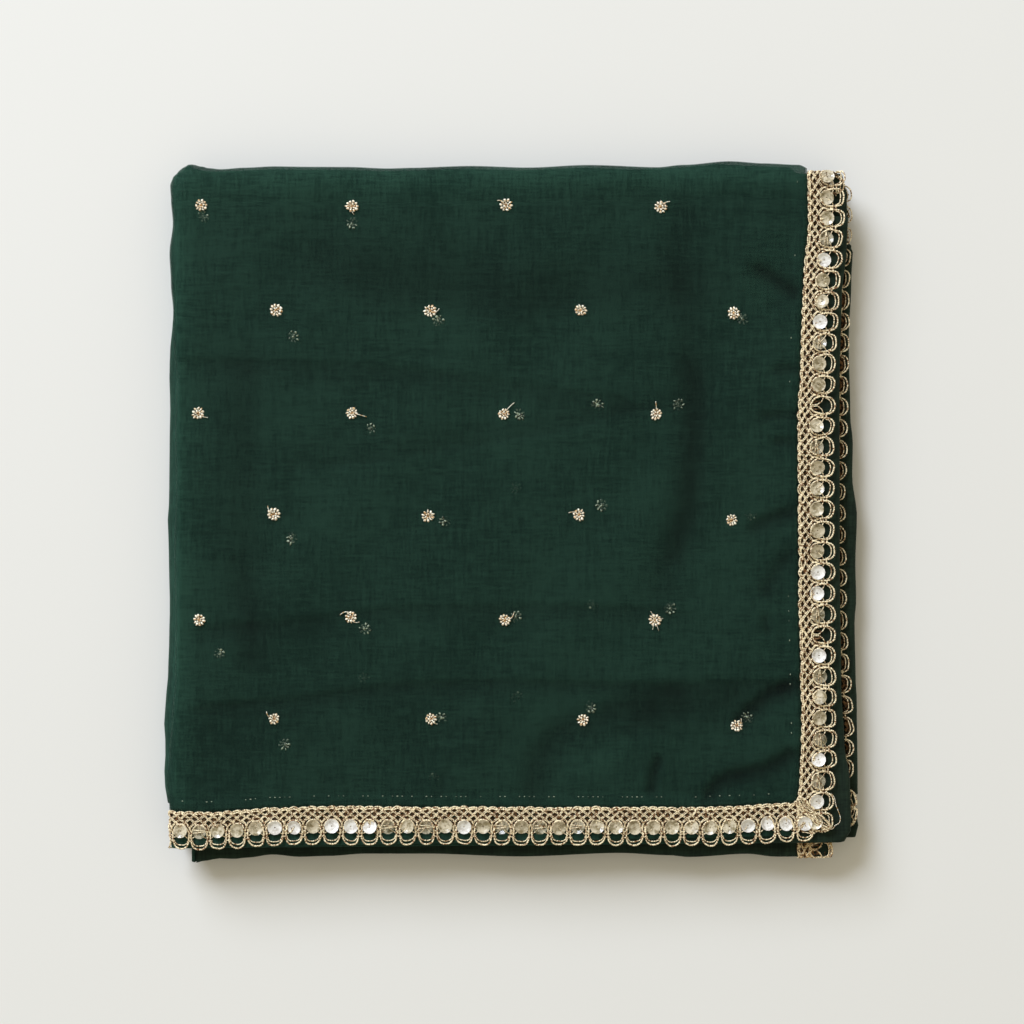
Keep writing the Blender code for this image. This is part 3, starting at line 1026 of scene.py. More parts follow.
def build_thread_tree():
    own = {"Chart": "Object", "Thread Radius": "Float", "Twist Length": "Float", "Step": "Float"}
    tree, given, add = new_tree("crochet_thread", {**ROW_SOCKETS, **own})
    whole = {0: given["Repeat Length"], 1: REPEAT * MM}
    stretch = add("ShaderNodeMath", whole, operation="DIVIDE")
    size = add("ShaderNodeCombineXYZ", {"X": stretch, "Y": 1.0, "Z": 1.0})
    row = row_of_points(tree, given, 0.0)
    copying = {"Points": row, "Instance": shape_of(tree, given["Chart"]), "Scale": size}
    copies = add("GeometryNodeInstanceOnPoints", copying)
    drawn = add("GeometryNodeRealizeInstances", {"Geometry": copies})
    steps = {"Curve": drawn, "Length": given["Step"]}
    strands = add("GeometryNodeResampleCurve", steps, mode="LENGTH")
    bent, _ = bend_between_edges(tree, given, add("GeometryNodeInputPosition"))
    laid = add("GeometryNodeSetPosition", {"Geometry": strands, "Position": bent})
    thread = twisted_thread(tree, laid, given["Thread Radius"], given["Twist Length"], THREAD_FLATNESS)
    return end_tree(tree, thread, given["Material"])


thread_tree = build_thread_tree()
print("nodes in the thread tree:", len(thread_tree.nodes))

# %% [markdown]
# ### Sequins
#
# A sequin is punched from a thin sheet of pearly film and pressed to a shallow cup with a hole
# in its middle. One cup is turned from a short profile and set once in each repeat, tilted at
# random, and a few are missing, as on any worn piece.

# %% One sequin
SEQUIN_SIDES = 14
SEQUIN_PROFILE = ((0.34, 0.0), (1.9, 0.14), (3.35, 0.8), (3.4, 0.68), (1.9, 0.02), (0.34, -0.12))


def make_sequin():
    points, faces = [], []
    for side in range(SEQUIN_SIDES):
        angle = 2 * math.pi * side / SEQUIN_SIDES
        for radius, height in SEQUIN_PROFILE:
            points.append((radius * MM * math.cos(angle), radius * MM * math.sin(angle), height * MM))
    size = len(SEQUIN_PROFILE)
    for side in range(SEQUIN_SIDES):
        here, there = side * size, (side + 1) % SEQUIN_SIDES * size
        for index in range(size):
            following = (index + 1) % size
            faces.append((here + following, here + index, there + index, there + following))
    return show_mesh("sequin_cup", points, faces)


sequin_cup = make_sequin()
print("faces in one sequin:", len(sequin_cup.data.polygons))

# %% Sewing threads
def make_sewing_threads(name, turned):
    """Two short threads side by side, as flat four-sided bars that run along x or y."""
    points, faces = [], []
    for offset, half, lean in ((-0.35, 3.3, 0.12), (0.55, 2.9, -0.08)):
        first = len(points)
        for along, drop in ((-half, -0.5), (-half * 0.4, 0.0), (half * 0.4, 0.0), (half, -0.5)):
            for side, height in ((-0.2, 0.0), (0.0, 0.16), (0.2, 0.0), (0.0, -0.16)):
                x, y = along, offset + lean * along + side
                if turned:
                    x, y = -y, x
                points.append((x * MM, y * MM, (drop + height) * MM))
        for ring in range(3):
            for corner in range(4):
                here = first + ring * 4 + corner
                beside = first + ring * 4 + (corner + 1) % 4
                faces.append((here, here + 4, beside + 4, beside))
        faces.append(tuple(first + corner for corner in range(4)))
        faces.append(tuple(first + 12 + corner for corner in reversed(range(4))))
    return show_mesh(name, points, faces)


threads_along_x = make_sewing_threads("threads_along_x", turned=False)
threads_along_y = make_sewing_threads("threads_along_y", turned=True)
print("faces in a pair of sewing threads:", len(threads_along_x.data.polygons))

# %% The tree that sets the sequins
def build_sequin_tree():
    own = {"Cup": "Object", "Place Out": "Float", "Height": "Float", "Tilt": "Float"}
    own.update({"Spin": "Float", "First": "Int", "Seed": "Int"})
    own.update({"Lowest Draw": "Float", "Highest Draw": "Float"})
    tree, given, add = new_tree("sequin_row", {**ROW_SOCKETS, **own})
    row = row_of_points(tree, given, given["Place Out"])
    above = add("ShaderNodeCombineXYZ", {"Z": given["Height"]})
    flat = {0: add("GeometryNodeInputPosition"), 1: above}
    raised = add("ShaderNodeVectorMath", flat, operation="ADD")
    bent, upright = bend_between_edges(tree, given, raised)
    # The direction is kept before the points move, because it is read at their flat places.
    keeping = {"Geometry": row, "Name": "upright", "Value": upright}
    with_upright = add("GeometryNodeStoreNamedAttribute", keeping, data_type="FLOAT_VECTOR")
    laid = add("GeometryNodeSetPosition", {"Geometry": with_upright, "Position": bent})
    kept = add("GeometryNodeInputNamedAttribute", {"Name": "upright"}, data_type="FLOAT_VECTOR")
    stand = {"Vector": kept.outputs["Attribute"]}
    facing = add("FunctionNodeAlignRotationToVector", stand, axis="Z")
    tilt = given["Tilt"]
    other_way = add("ShaderNodeMath", {0: tilt, 1: -1.0}, operation="MULTIPLY")
    least = add("ShaderNodeCombineXYZ", {"X": other_way, "Y": other_way})
    most = add("ShaderNodeCombineXYZ", {"X": tilt, "Y": tilt, "Z": given["Spin"]})
    leaning = {0: least, 1: most, "Seed": given["Seed"]}
    lean = add("FunctionNodeRandomValue", leaning, data_type="FLOAT_VECTOR")
    turned = add("FunctionNodeEulerToRotation", {"Euler": lean})
    turning = {"Rotation": facing, "Rotate By": turned}
    rotation = add("FunctionNodeRotateRotation", turning, rotation_space="LOCAL")
    drawing = {2: 0.0, 3: 1.0, "Seed": given["Seed"]}
    draw = add("FunctionNodeRandomValue", drawing, data_type="FLOAT")
    over = add("ShaderNodeMath", {0: draw, 1: given["Lowest Draw"]}, operation="GREATER_THAN")
    under = add("ShaderNodeMath", {0: draw, 1: given["Highest Draw"]}, operation="LESS_THAN")
    chosen = add("ShaderNodeMath", {0: over, 1: under}, operation="MULTIPLY")
    number = {2: add("GeometryNodeInputIndex"), 3: given["First"]}
    reached = add("FunctionNodeCompare", number, data_type="INT", operation="GREATER_EQUAL")
    shown = add("FunctionNodeBooleanMath", {0: chosen, 1: reached}, operation="AND")
    setting = {"Points": laid, "Selection": shown, "Rotation": rotation}
    setting["Instance"] = shape_of(tree, given["Cup"])
    cups = add("GeometryNodeInstanceOnPoints", setting)
    return end_tree(tree, cups, given["Material"])


sequin_tree = build_sequin_tree()
print("nodes in the sequin tree:", len(sequin_tree.nodes))

# %% [markdown]
# ### Thread and film
#
# The lace thread is zari: cotton wound with a flat strip of gilded film. It shines like a metal
# where a strip faces the light, and looks like warm brown cotton in between. The sequins are
# pearly film, translucent and bright, and some of them are drawn duller and greenish.

# %% Gold thread
STRIP_LENGTH = 0.75 * MM


def patchy_material(name, constants, noise, limits, tones):
    """A material whose colour goes from one tone to the other in soft patches of noise."""
    material, tree, shader = new_material(name, constants)
    place = add_node(tree, "ShaderNodeTexCoord").outputs["Object"]
    patches = add_node(tree, "ShaderNodeTexNoise", {"Vector": place, **noise})
    base = two_tones(tree, patches, *limits, *tones)
    tree.links.new(base.outputs[2], shader.inputs["Base Color"])
    return material


def make_thread(name, bright, deep, metallic=0.15, roughness=0.4):
    """Thread wound with a bright strip: patches of shine with the deeper core between them. The bright
    patches are partly the strip's colour and partly painted highlight, the deep ones partly painted
    shade between plies.
    """
    shine = {"Metallic": metallic, "Roughness": roughness}
    strips = {"Scale": 1 / STRIP_LENGTH, "Detail": 1.0}
    return patchy_material(name, shine, strips, (0.38, 0.53), (deep, bright))


gold_thread = make_thread("zari_crochet_thread", "fff0c8", "805226")
# A darker, browner copy of the gold thread, for the lace that turns under the front fold.
darker_gold_thread = make_thread("tarnished_zari_thread", "e6c083", "6e4a26")
# Painted shade: dark brown strands behind the lace stand for the lace and cloth below in shadow, and
# keep the gaps dark.
shade_backing_thread = make_thread("cotton_core_backing", "6c4a20", "26180a", 0.05, 0.7)
hem_thread = make_thread("thin_hem_thread", "b9bfa6", "4d5a48", 0.1, 0.5)
print("nodes in one thread:", len(gold_thread.node_tree.nodes))

# %% Sequin film
PEARL_CLOUD = 2.6 * MM


def make_film(name, clear, cloudy, alpha, roughness):
    """Pearly film: cloudy layers that a smooth coat makes shine, clearer where it has worn."""
    coat = {"Specular IOR Level": 0.8, "Coat Weight": 0.6, "Coat Roughness": 0.12}
    film = {"Roughness": roughness, "Alpha": alpha, **coat}
    clouds = {"Scale": 1 / PEARL_CLOUD, "Detail": 3.0, "Roughness": 0.7}
    return patchy_material(name, film, clouds, (0.38, 0.58), (clear, cloudy))


# Three films: bright pearly, a duller and yellower copy of it, and a clear one that is mostly
# see-through.
pearly_film = make_film("pearly_sequin_film", "cfc9bf", "fffdf6", 0.93, 0.25)
duller_film = make_film("yellowed_sequin_film", "94855e", "ece0c2", 0.66, 0.3)
clear_film = make_film("clear_worn_sequin_film", "766a42", "ede2c4", 0.30, 0.15)
print("films:", [film.name for film in (pearly_film, duller_film, clear_film)])

# %% [markdown]
# ### Laying the lace
#
# The guides are read from the fold like any other place on the stole. Where the lace reaches a
# fold of the pack it goes round it, so each guide carries on a little way underneath.

# %% Guides
LACE_STAND = 0.35
EDGE_STEPS = 90
# The side lace goes round the long fold in these shares of the turn, and its last place lies
# this far to the right and down, under the lace of the end.
LONG_FOLD_SHARES = (0.95, 0.8, 0.7, 0.6, 0.5, 0.4, 0.3, 0.2, 0.1, 0.04)
UNDER_CORNER = (11.5, 0.0, -0.2)
# The end lace starts at the front corner and turns under at the far fold.
END_START = -151.0
LACE_MIDDLE = 145.0
FAR_SETBACK = 0.4
FAR_BEND = 2.5
ROUND_FAR_FOLD = (
    # along, down
    (-1.2, -0.08), (-0.3, -0.4), (0.0, -0.8), (-0.3, -1.15), (-1.2, -1.4), (-4.0, -1.45),
    (-11.4, -1.45),
)


def guide(name, places):
    return open_lines(name, [(1.0, [tuple(place) for place in places])])


def along_side_edge(table):
    """The near edge of the top panel, from the long fold to where it tucks under the corner."""
    stations = [("pass", 1, 0.008), *(("turn", 0, share) for share in LONG_FOLD_SHARES)]
    stations += [("pass", 0, 1 - share) for share in shares(0.005, 0.99, EDGE_STEPS)]
    stand = PANEL_GAP + LACE_STAND
    places = []
    for station in stations:
        y = read_table(table, rough_x(station))
        x, z, out, up = course(station, y, 0.0)
        places.append(settle(x + out * stand, y, z + up * stand))
    return [*places, places[-1] + np.array(UNDER_CORNER) * MM]


def along_end_edge(table):
    """The end of the top panel, from the lace corner over the far fold and back below it."""
    far = read_table(TOP_NORTH, LACE_MIDDLE) - FAR_SETBACK
    track = [(y, 0.0) for y in shares(END_START, far - FAR_BEND, EDGE_STEPS)]
    track += [(far + y, drop) for y, drop in ROUND_FAR_FOLD]
    places = []
    for y, drop in track:
        x = read_table(table, y)
        places.append(settle(x, y, pass_height(0, x) + PANEL_GAP + LACE_STAND + drop))
    return places


side_inner = guide("side_inner_edge", along_side_edge(PANEL_SOUTH_EDGE))
side_outer = guide("side_outer_edge", along_side_edge(SIDE_LACE_EDGE))
end_inner = guide("end_inner_edge", along_end_edge(PANEL_EAST_EDGE))
end_outer = guide("end_outer_edge", along_end_edge(END_LACE_EDGE))
print("places along the end lace:", len(end_outer.data.splines[0].points))

# %% The two laces of the top panel
THREAD_RADIUS = 0.50
TWIST_LENGTH = 2.0
THREAD_STEP = 0.5
BACKING_STEP = 1.2
UNEVENNESS = 1.6
# Each sequin draws a number from 0 to 1. Below the first share it is clear, below the second
# duller, below the third pearly, and above that it is missing.
CLEAR_SHARE = 0.26
DULLER_SHARE = 0.68
PEARLY_SHARE = 0.97
BELOW_ALL = -0.01
CUP_LIFT = 0.28
SEWING_LIFT = 0.95
CUP_TILT = 0.26


def row_values(row, material):
    """The inputs that every tree of a row shares."""
    repeats, length, inner, outer = row
    values = {"Repeats": repeats, "Inner Edge": inner, "Outer Edge": outer, "Material": material}
    sizes = {"Repeat Length": length, "Lace Depth": LACE_DEPTH, "Unevenness": UNEVENNESS}
    return {**values, **{label: size * MM for label, size in sizes.items()}}


def lay_lace(name, row, chart, material, *nodes, step=THREAD_STEP):
    """One stretch of lace between two guides."""
    sizes = {"Thread Radius": THREAD_RADIUS, "Twist Length": TWIST_LENGTH, "Step": step}
    values = {"Chart": chart, **{label: size * MM for label, size in sizes.items()}}
    lace = grow(name, thread_tree, {**row_values(row, material), **values})
    return ride_as(lace, "crochet_lace", *nodes)


def lay_sequins(name, row, seed, sewing_threads, first=0, tilt=CUP_TILT):
    """The sequins of a stretch by their film, and the sewing threads over the clear ones."""
    loose = {"Cup": sequin_cup, "Height": CUP_LIFT * MM, "Tilt": tilt, "Spin": 2 * math.pi}
    sewn = {"Cup": sewing_threads, "Height": SEWING_LIFT * MM, "Tilt": 0.0, "Spin": 0.0}
    kinds = (
        ("clear", clear_film, loose, BELOW_ALL, CLEAR_SHARE),
        ("aged", duller_film, loose, CLEAR_SHARE, DULLER_SHARE),
        ("pearly", pearly_film, loose, DULLER_SHARE, PEARLY_SHARE),
        ("threads", gold_thread, sewn, BELOW_ALL, CLEAR_SHARE),
    )
    found = []
    for kind, material, shape, lowest, highest in kinds:
        values = {"Place Out": SEQUIN_CENTRE * MM, "First": first, "Seed": seed}
        values.update({"Lowest Draw": lowest, "Highest Draw": highest})
        values = {**row_values(row, material), **shape, **values}
        piece = grow(f"{name}_{kind}", sequin_tree, values)
        if shape is loose:
            piece.data.shade_flat()
        found.append(ride_as(piece, "sequins" if shape is loose else "crochet_lace"))
    return found


def lay_edge(name, row, charts, node, *sequin_settings, **more_settings):
    """All of a stretch: its lace, the dark strands behind it that paint the shade in its gaps, and its
    sequins.
    """
    lace = lay_lace(name + "_lace", row, charts[0], gold_thread, node)
    backing = lay_lace(name + "_backing", row, charts[1], shade_backing_thread, step=BACKING_STEP)
    return [lace, backing, *lay_sequins(name + "_sequins", row, *sequin_settings, **more_settings)]


charts = (full_repeat, backing_repeat)
# Repeats, length of one, inner and outer edge.
side_row = (35, 8.79, side_inner, side_outer)
end_row = (33, 9.87, end_inner, end_outer)
side_pieces = lay_edge("side", side_row, charts, "lace_side_top", 3709, threads_along_x, first=1)
end_pieces = lay_edge("end", end_row, charts, "lace_end_top", 3734, threads_along_y)

# %% [markdown]
# ### The other stretches of lace
#
# The far end of the stole comes out half way down the pack, so its lace shows only as a row of
# loops. Those are drawn a little finer, with dark brown strands in them as painted shade of the
# cloth behind. Two corners are crumpled on the real piece. Each of them is two repeats of the same
# chart, squeezed between two guides that lie close together, which packs the threads like gathered
# lace.

# %% The lace of the far end
FAR_LACE_EDGE = (
    (-147, 163.0), (-140, 161.0), (-131, 161.0), (-113, 161.4), (-104, 161.4), (-83, 160.0),
    (-72, 159.3), (-54, 158.3), (-31, 157.8), (-11, 157.3), (9, 156.9), (18, 157.8),
    (40, 158.2), (69, 158.8), (88, 159.3), (119, 159.5), (132, 160.4), (141, 160.6), (156, 159.9),
)
FAR_LACE_ENDS = (-127.0, 155.5)
FAR_LACE_HEIGHT = 13.0
FAR_LACE_DROOP = 0.15
FAR_LACE_STEPS = 80
FAR_CUP_TILT = 0.3


def along_far_end(reach, height):
    places = shares(*FAR_LACE_ENDS, FAR_LACE_STEPS)
    return [settle(read_table(FAR_LACE_EDGE, y) + reach, y, height) for y in places]


far_inner = guide("far_inner_edge", along_far_end(-LACE_DEPTH, FAR_LACE_HEIGHT))
far_outer = guide("far_outer_edge", along_far_end(0.0, FAR_LACE_HEIGHT - FAR_LACE_DROOP))
far_row = (28, 10.0, far_inner, far_outer)
far_charts = (outer_repeat, outer_backing)
looser = {"tilt": FAR_CUP_TILT}
far_pieces = lay_edge("far_end", far_row, far_charts, "lace_far_end", 15, threads_along_y, **looser)

# %% The gathered corner of the far end
FAR_GATHER_INNER = ((156.4, -131.0), (156.6, -138.0), (157.6, -144.0), (157.0, -149.6))
FAR_GATHER_OUTER = ((161.0, -131.6), (162.6, -136.4), (163.0, -142.0), (161.6, -148.0))
FAR_GATHER_HEIGHT = 12.95


def lay_gathered(name, repeat_length, inner, outer):
    """Two repeats of the lace, squeezed between two lines of places."""
    edges = (guide(name + "_inner_edge", inner), guide(name + "_outer_edge", outer))
    return lay_lace(name, (2, repeat_length, *edges), full_repeat, gold_thread)


far_gather_inner = [settle(x, y, FAR_GATHER_HEIGHT) for x, y in FAR_GATHER_INNER]
far_gather_outer = [settle(x, y, FAR_GATHER_HEIGHT) for x, y in FAR_GATHER_OUTER]
far_gather = lay_gathered("gathered_far_corner", 9.4, far_gather_inner, far_gather_outer)

# %% The end lace turned round the front fold
TURNED_INNER = 134.0
TURNED_OUTER = 151.2
TURNED_REACH = -163.6
TURNED_TOP = 13.4
TURNED_RADIUS = 0.9
BELOW_END = -154.0
ABOVE_MIDDLE = -155.0
ABOVE_END = -146.0
ABOVE_LIFT = 0.3


def along_turned_end(x, phase):
    """From below the front fold, round it, and back on top of it."""
    middle = TURNED_REACH + TURNED_RADIUS
    track = [(BELOW_END + phase, -2 * TURNED_RADIUS)]
    for a in shares(math.pi, 0.0, 8):
        track.append((middle - TURNED_RADIUS * math.sin(a), TURNED_RADIUS * (math.cos(a) - 1)))
    track += [(ABOVE_MIDDLE, 0.0), (ABOVE_END + phase, ABOVE_LIFT)]
    return [settle(x, y, TURNED_TOP + drop) for y, drop in track]


def turned_row(name, phase):
    """Two repeats and a half of the lace, this far along its length."""
    inner = guide(name + "_inner_edge", along_turned_end(TURNED_INNER, phase))
    outer = guide(name + "_outer_edge", along_turned_end(TURNED_OUTER, phase))
    return (3, 9.2, inner, outer)


upper_row = turned_row("turned_end_lace", 0.0)
lower_row = turned_row("turned_under_lace", 4.4)
turned_pieces = [
    lay_lace("turned_end_lace", upper_row, full_repeat, gold_thread, "lace_turned_end"),
    lay_lace("turned_under_lace", lower_row, full_repeat, darker_gold_thread),
    lay_lace("turned_backing", lower_row, backing_repeat, shade_backing_thread, step=BACKING_STEP),
]

# %% [markdown]
# ## The embroidered flowers
#
# Each small flower, a buti, is embroidered as a ring of short satin stitches round a darker
# heart. Up close every stitch looks like a small shiny bead, so a flower here is a ring of
# flattened beads, a smaller ring inside it, and one bead for the heart. The machine leaves a tail
# of thread at many of them. A second tree only sets the flowers: it needs the places as loose
# points and turns and sizes each flower a little differently. The same flowers lie on the next
# panel down, where the sheer cloth lets them show through faintly.

# %% Places of the flowers
BUTIS = (
    (-146.9, 144.1), (-75.9, 143.6), (-3.5, 144.1), (69.3, 143.1),
    (-111.6, 94.7), (-39.2, 94.2), (31.7, 94.7), (103.6, 93.3),
    (-148.3, 46.3), (-75.9, 46.3), (-4.5, 45.8), (67.0, 45.8),
    (-112.6, -1.2), (-40.2, -2.1), (30.8, -1.6), (102.7, -4.0),
    (-147.8, -51.0), (-76.4, -49.6), (-4.0, -51.0), (66.5, -51.0),
    (-112.6, -97.5), (-38.8, -97.5), (32.7, -98.0), (105.0, -100.8),
)
NEXT_PANEL_BUTIS = (
    (-146.0, 139.0), (-75.8, 135.7), (-103.5, 82.2), (-35.3, 89.5), (107.7, 90.6),
    (-67.1, 39.0), (2.9, 45.7), (39.7, 50.4), (77.6, 50.4), (41.4, 2.9), (-104.2, -12.5),
    (-32.2, -4.5), (73.6, -45.4), (-69.8, -55.0), (1.2, -49.4), (-138.4, -66.8),
    (-107.6, -109.6), (-33.9, -96.9), (36.4, -91.9), (110.0, -96.9),
)
DEEPER_BUTIS = (
    (1.2, 10.9), (111.6, -1.6), (37.4, -43.3), (-37.4, -125.3), (2.0, -87.5), (-70.3, -78.3),
)
TAILS = (
    # flower, direction in degrees, length, how much it curls, thickness
    (2, 125, 3.0, 0.5, 0.7), (3, 55, 3.4, -0.4, 0.7), (8, -42, 3.4, 0.3, 0.6),
    (9, -12, 5.4, -0.05, 0.6), (10, 56, 5.6, -0.14, 0.6), (11, 86, 4.4, 0.1, 0.6),
    (12, 150, 3.2, -0.4, 0.7), (14, 140, 3.4, 0.5, 0.7), (17, 95, 3.6, 1.3, 0.7),
    (17, -75, 3.0, 0.8, 0.5), (18, 5, 3.8, 0.6, 0.7), (19, 113, 3.0, 0.05, 0.4),
    (19, 18, 2.3, -0.1, 0.35), (19, -107, 3.1, 0.05, 0.4), (19, -73, 3.6, 0.05, 0.35),
    (20, 165, 3.4, -0.5, 0.7), (5, -30, 2.8, 0.8, 0.6), (23, 30, 2.4, 0.5, 0.6),
    (1, -100, 2.4, 0.4, 0.6), (21, -60, 2.2, 0.4, 0.5),
)


def loose_points(name, places, lift, below=0.0):
    x, y = np.array(places).T
    return show_mesh(name, on_panel(x, y, lift, below).tolist(), [])


top_points = loose_points("top_flower_places", BUTIS, 0.2)
next_points = loose_points("next_flower_places", NEXT_PANEL_BUTIS, -0.17)
deeper_points = loose_points("deeper_flower_places", DEEPER_BUTIS, 0.06, PANEL_GAP)
print(len(BUTIS), "flowers on top and", len(NEXT_PANEL_BUTIS), "on the panel below")

# %% One bead
BEAD_RADIUS = 0.5
BEAD_HEIGHT = 0.35


def make_bead():
    """A flattened bead of a few faces, one millimetre across."""
    rings, sides = 3, 6
    points = [(0.0, 0.0, BEAD_HEIGHT)]
    for ring in range(1, rings):
        angle = math.pi * ring / rings
        flat, height = BEAD_RADIUS * math.sin(angle), BEAD_HEIGHT * math.cos(angle)
        for side in range(sides):
            around = 2 * math.pi * side / sides
            points.append((flat * math.cos(around), flat * math.sin(around), height))
    points.append((0.0, 0.0, -BEAD_HEIGHT))
    faces = []
    for side in range(sides):
        here, after = 1 + side, 1 + (side + 1) % sides
        faces.append((0, here, after))
        faces.append((here, sides + here, sides + after, after))
        faces.append((sides + here, len(points) - 1, sides + after))
    return show_mesh("bead", [(x * MM, y * MM, z * MM) for x, y, z in points], faces)


bead = make_bead()
print("faces in one bead:", len(bead.data.polygons))

# %% The flower tree
FLOWER_WANDER = 1.3


def ring_of_beads(tree, count, radius, bead, size):
    """Beads on a circle, each with its long side pointing outwards."""
    add = partial(add_node, tree)
    circle = add("GeometryNodeMeshCircle", {"Vertices": count, "Radius": radius})
    place = add("GeometryNodeInputPosition")
    outwards = add("FunctionNodeAlignRotationToVector", {"Vector": place}, axis="X")
    setting = {"Points": circle, "Instance": bead, "Rotation": outwards, "Scale": size}
    return add("GeometryNodeInstanceOnPoints", setting)


def build_flower_tree():
    sockets = {"Places": "Object", "Bead": "Object", "Petals": "Int", "Petal Ring": "Float"}
    sockets.update({"Inner Ring": "Float", "Height": "Float", "Unevenness": "Float"})
    sockets.update({"Seed": "Int", "Material": "Material", "Heart Material": "Material"})
    tree, given, add = new_tree("buti_flowers", sockets)
    bead = shape_of(tree, given["Bead"])
    petal_size = add("ShaderNodeCombineXYZ", {"X": 1.75, "Y": 1.3, "Z": given["Height"]})
    inner_size = add("ShaderNodeCombineXYZ", {"X": 1.15, "Y": 1.0, "Z": given["Height"]})
    petals = ring_of_beads(tree, given["Petals"], given["Petal Ring"], bead, petal_size)
    inner = ring_of_beads(tree, 6, given["Inner Ring"], bead, inner_size)
    bright = add("GeometryNodeJoinGeometry", {"Geometry": [petals, inner]})
    real = add("GeometryNodeRealizeInstances", {"Geometry": bright})
    painting = {"Geometry": real, "Material": given["Material"]}
    painted = add("GeometryNodeSetMaterial", painting)
    heart = add("GeometryNodeTransform", {"Geometry": bead, "Scale": (1.6, 1.6, 1.0)})
    darkening = {"Geometry": heart, "Material": given["Heart Material"]}
    dark = add("GeometryNodeSetMaterial", darkening)
    flower = add("GeometryNodeJoinGeometry", {"Geometry": [painted, dark]})
    turns = {0: (-0.12, -0.12, 0.0), 1: (0.12, 0.12, 2 * math.pi), "Seed": given["Seed"]}
    spin = add("FunctionNodeRandomValue", turns, data_type="FLOAT_VECTOR")
    growth = {0: (0.86, 0.86, 0.9), 1: (1.08, 1.08, 1.1), "Seed": given["Seed"]}
    size = add("FunctionNodeRandomValue", growth, data_type="FLOAT_VECTOR")
    places = shape_of(tree, given["Places"])
    setting = {"Points": places, "Instance": flower, "Rotation": spin, "Scale": size}
    flowers = add("GeometryNodeInstanceOnPoints", setting)
    sewn = add("GeometryNodeRealizeInstances", {"Geometry": flowers})
    strayed = stray(tree, add("GeometryNodeInputPosition"), FLOWER_WANDER, 0.0, given["Unevenness"])
    uneven = add("GeometryNodeSetPosition", {"Geometry": sewn, "Offset": strayed})
    add("NodeGroupOutput", {"Geometry": uneven})
    return tree


flower_tree = build_flower_tree()
print("nodes in the flower tree:", len(flower_tree.nodes))

# %% The flowers
# Silk stitches lie side by side and shine along their length, so they look like glossy beads.
# Seen through the cloth above, the same silk is dim and greenish.
bright_silk = make_thread("glossy_buti_thread", "fff9e4", "c8995c", metallic=0.1, roughness=0.35)
shaded_silk = make_thread("shaded_buti_thread", "8d9880", "1c2418", metallic=0.1, roughness=0.5)
heart_silk = make_thread("brown_gold_buti_heart", "c49a62", "5a3d1e", metallic=0.2, roughness=0.4)
PETAL_RING = 2.25
INNER_RING = 1.05


def set_flowers(name, places, height, seed, silk, heart, petals=10, unevenness=1.1):
    values = {"Places": places, "Bead": bead, "Petals": petals, "Height": height, "Seed": seed}
    values.update({"Petal Ring": PETAL_RING * MM, "Inner Ring": INNER_RING * MM})
    values.update({"Unevenness": unevenness * MM, "Material": silk, "Heart Material": heart})
    return ride_as(grow(name, flower_tree, values), "buti_thread")


dim = (shaded_silk, shaded_silk, 8, 1.4)
top_flowers = set_flowers("top_flowers", top_points, 1.3, 7, bright_silk, heart_silk)
next_flowers = set_flowers("next_panel_flowers", next_points, 0.35, 8, *dim)
deeper_flowers = set_flowers("deeper_panel_flowers", deeper_points, 0.3, 9, *dim)

# %% [markdown]
# ## Loose ends and hem stitches
#
# Thread tails are listed lines, given thickness by a tree that also twists them. One longer
# thread curls out of the lace at the corner, where the lace is gathered. The hem stitches are
# short beads of thread set along a line that runs just inside the lace. Most of them have sunk
# into the cloth, so only some are drawn.

# %% The tail tree
TAIL_RADIUS = 0.34
TAIL_TWIST = 1.8
TAIL_STEP = 0.5
TAIL_START = 1.6
TAIL_LIFT = 0.3
TAIL_RISE = 0.5
TAIL_FLATNESS = 0.55


def build_tail_tree():
    sockets = {"Lines": "Object", "Thread Radius": "Float", "Material": "Material"}
    tree, given, add = new_tree("loose_thread", sockets)
    steps = {"Curve": shape_of(tree, given["Lines"]), "Length": TAIL_STEP * MM}
    strands = add("GeometryNodeResampleCurve", steps, mode="LENGTH")
    thread = twisted_thread(tree, strands, given["Thread Radius"], TAIL_TWIST * MM, TAIL_FLATNESS)
    return end_tree(tree, thread, given["Material"])


tail_tree = build_tail_tree()


def tail_line(x, y, degrees, length, curl, thickness):
    """A short curling line that starts in a flower and lifts a little off the cloth."""
    points = []
    for share in shares(0.0, 1.0, 8):
        angle = math.radians(degrees) + curl * share
        out = TAIL_START + length * share
        lift = np.array([0.0, 0.0, TAIL_RISE * MM * math.sin(math.pi * share)])
        place = on_panel(x + out * math.cos(angle), y + out * math.sin(angle), TAIL_LIFT)
        points.append(tuple(place + lift))
    return (thickness, points)


def loose_threads(name, lines, slot):
    values = {"Lines": open_lines(name + "_lines", lines), "Thread Radius": TAIL_RADIUS * MM}
    return ride_as(grow(name, tail_tree, {**values, "Material": bright_silk}), slot)


tail_lines = [tail_line(*BUTIS[flower], *shape) for flower, *shape in TAILS]
tails = loose_threads("flower_tails", tail_lines, "buti_thread")

# %% The gathered corner
GATHER_INNER = ((131.4, -137.4), (136.0, -141.4), (141.4, -146.2), (146.4, -150.6))
GATHER_OUTER = ((135.0, -133.0), (139.6, -137.8), (145.0, -143.0), (150.4, -147.4))
CURL = (
    (149.4, -132.6), (151.0, -134.4), (151.4, -137.8), (153.0, -141.4), (153.9, -144.4),
    (153.0, -146.8), (151.0, -147.4), (150.2, -149.4), (148.2, -149.0),
)
CURL_THICKNESS = 0.56
GATHER_INNER_LIFT = 1.1
GATHER_OUTER_LIFT = 1.5
CURL_LIFT = 1.0
gather_inner = [on_panel(x, y, GATHER_INNER_LIFT) for x, y in GATHER_INNER]
gather_outer = [on_panel(x, y, GATHER_OUTER_LIFT) for x, y in GATHER_OUTER]
gathered_lace = lay_gathered("gathered_corner_lace", 10.4, gather_inner, gather_outer)
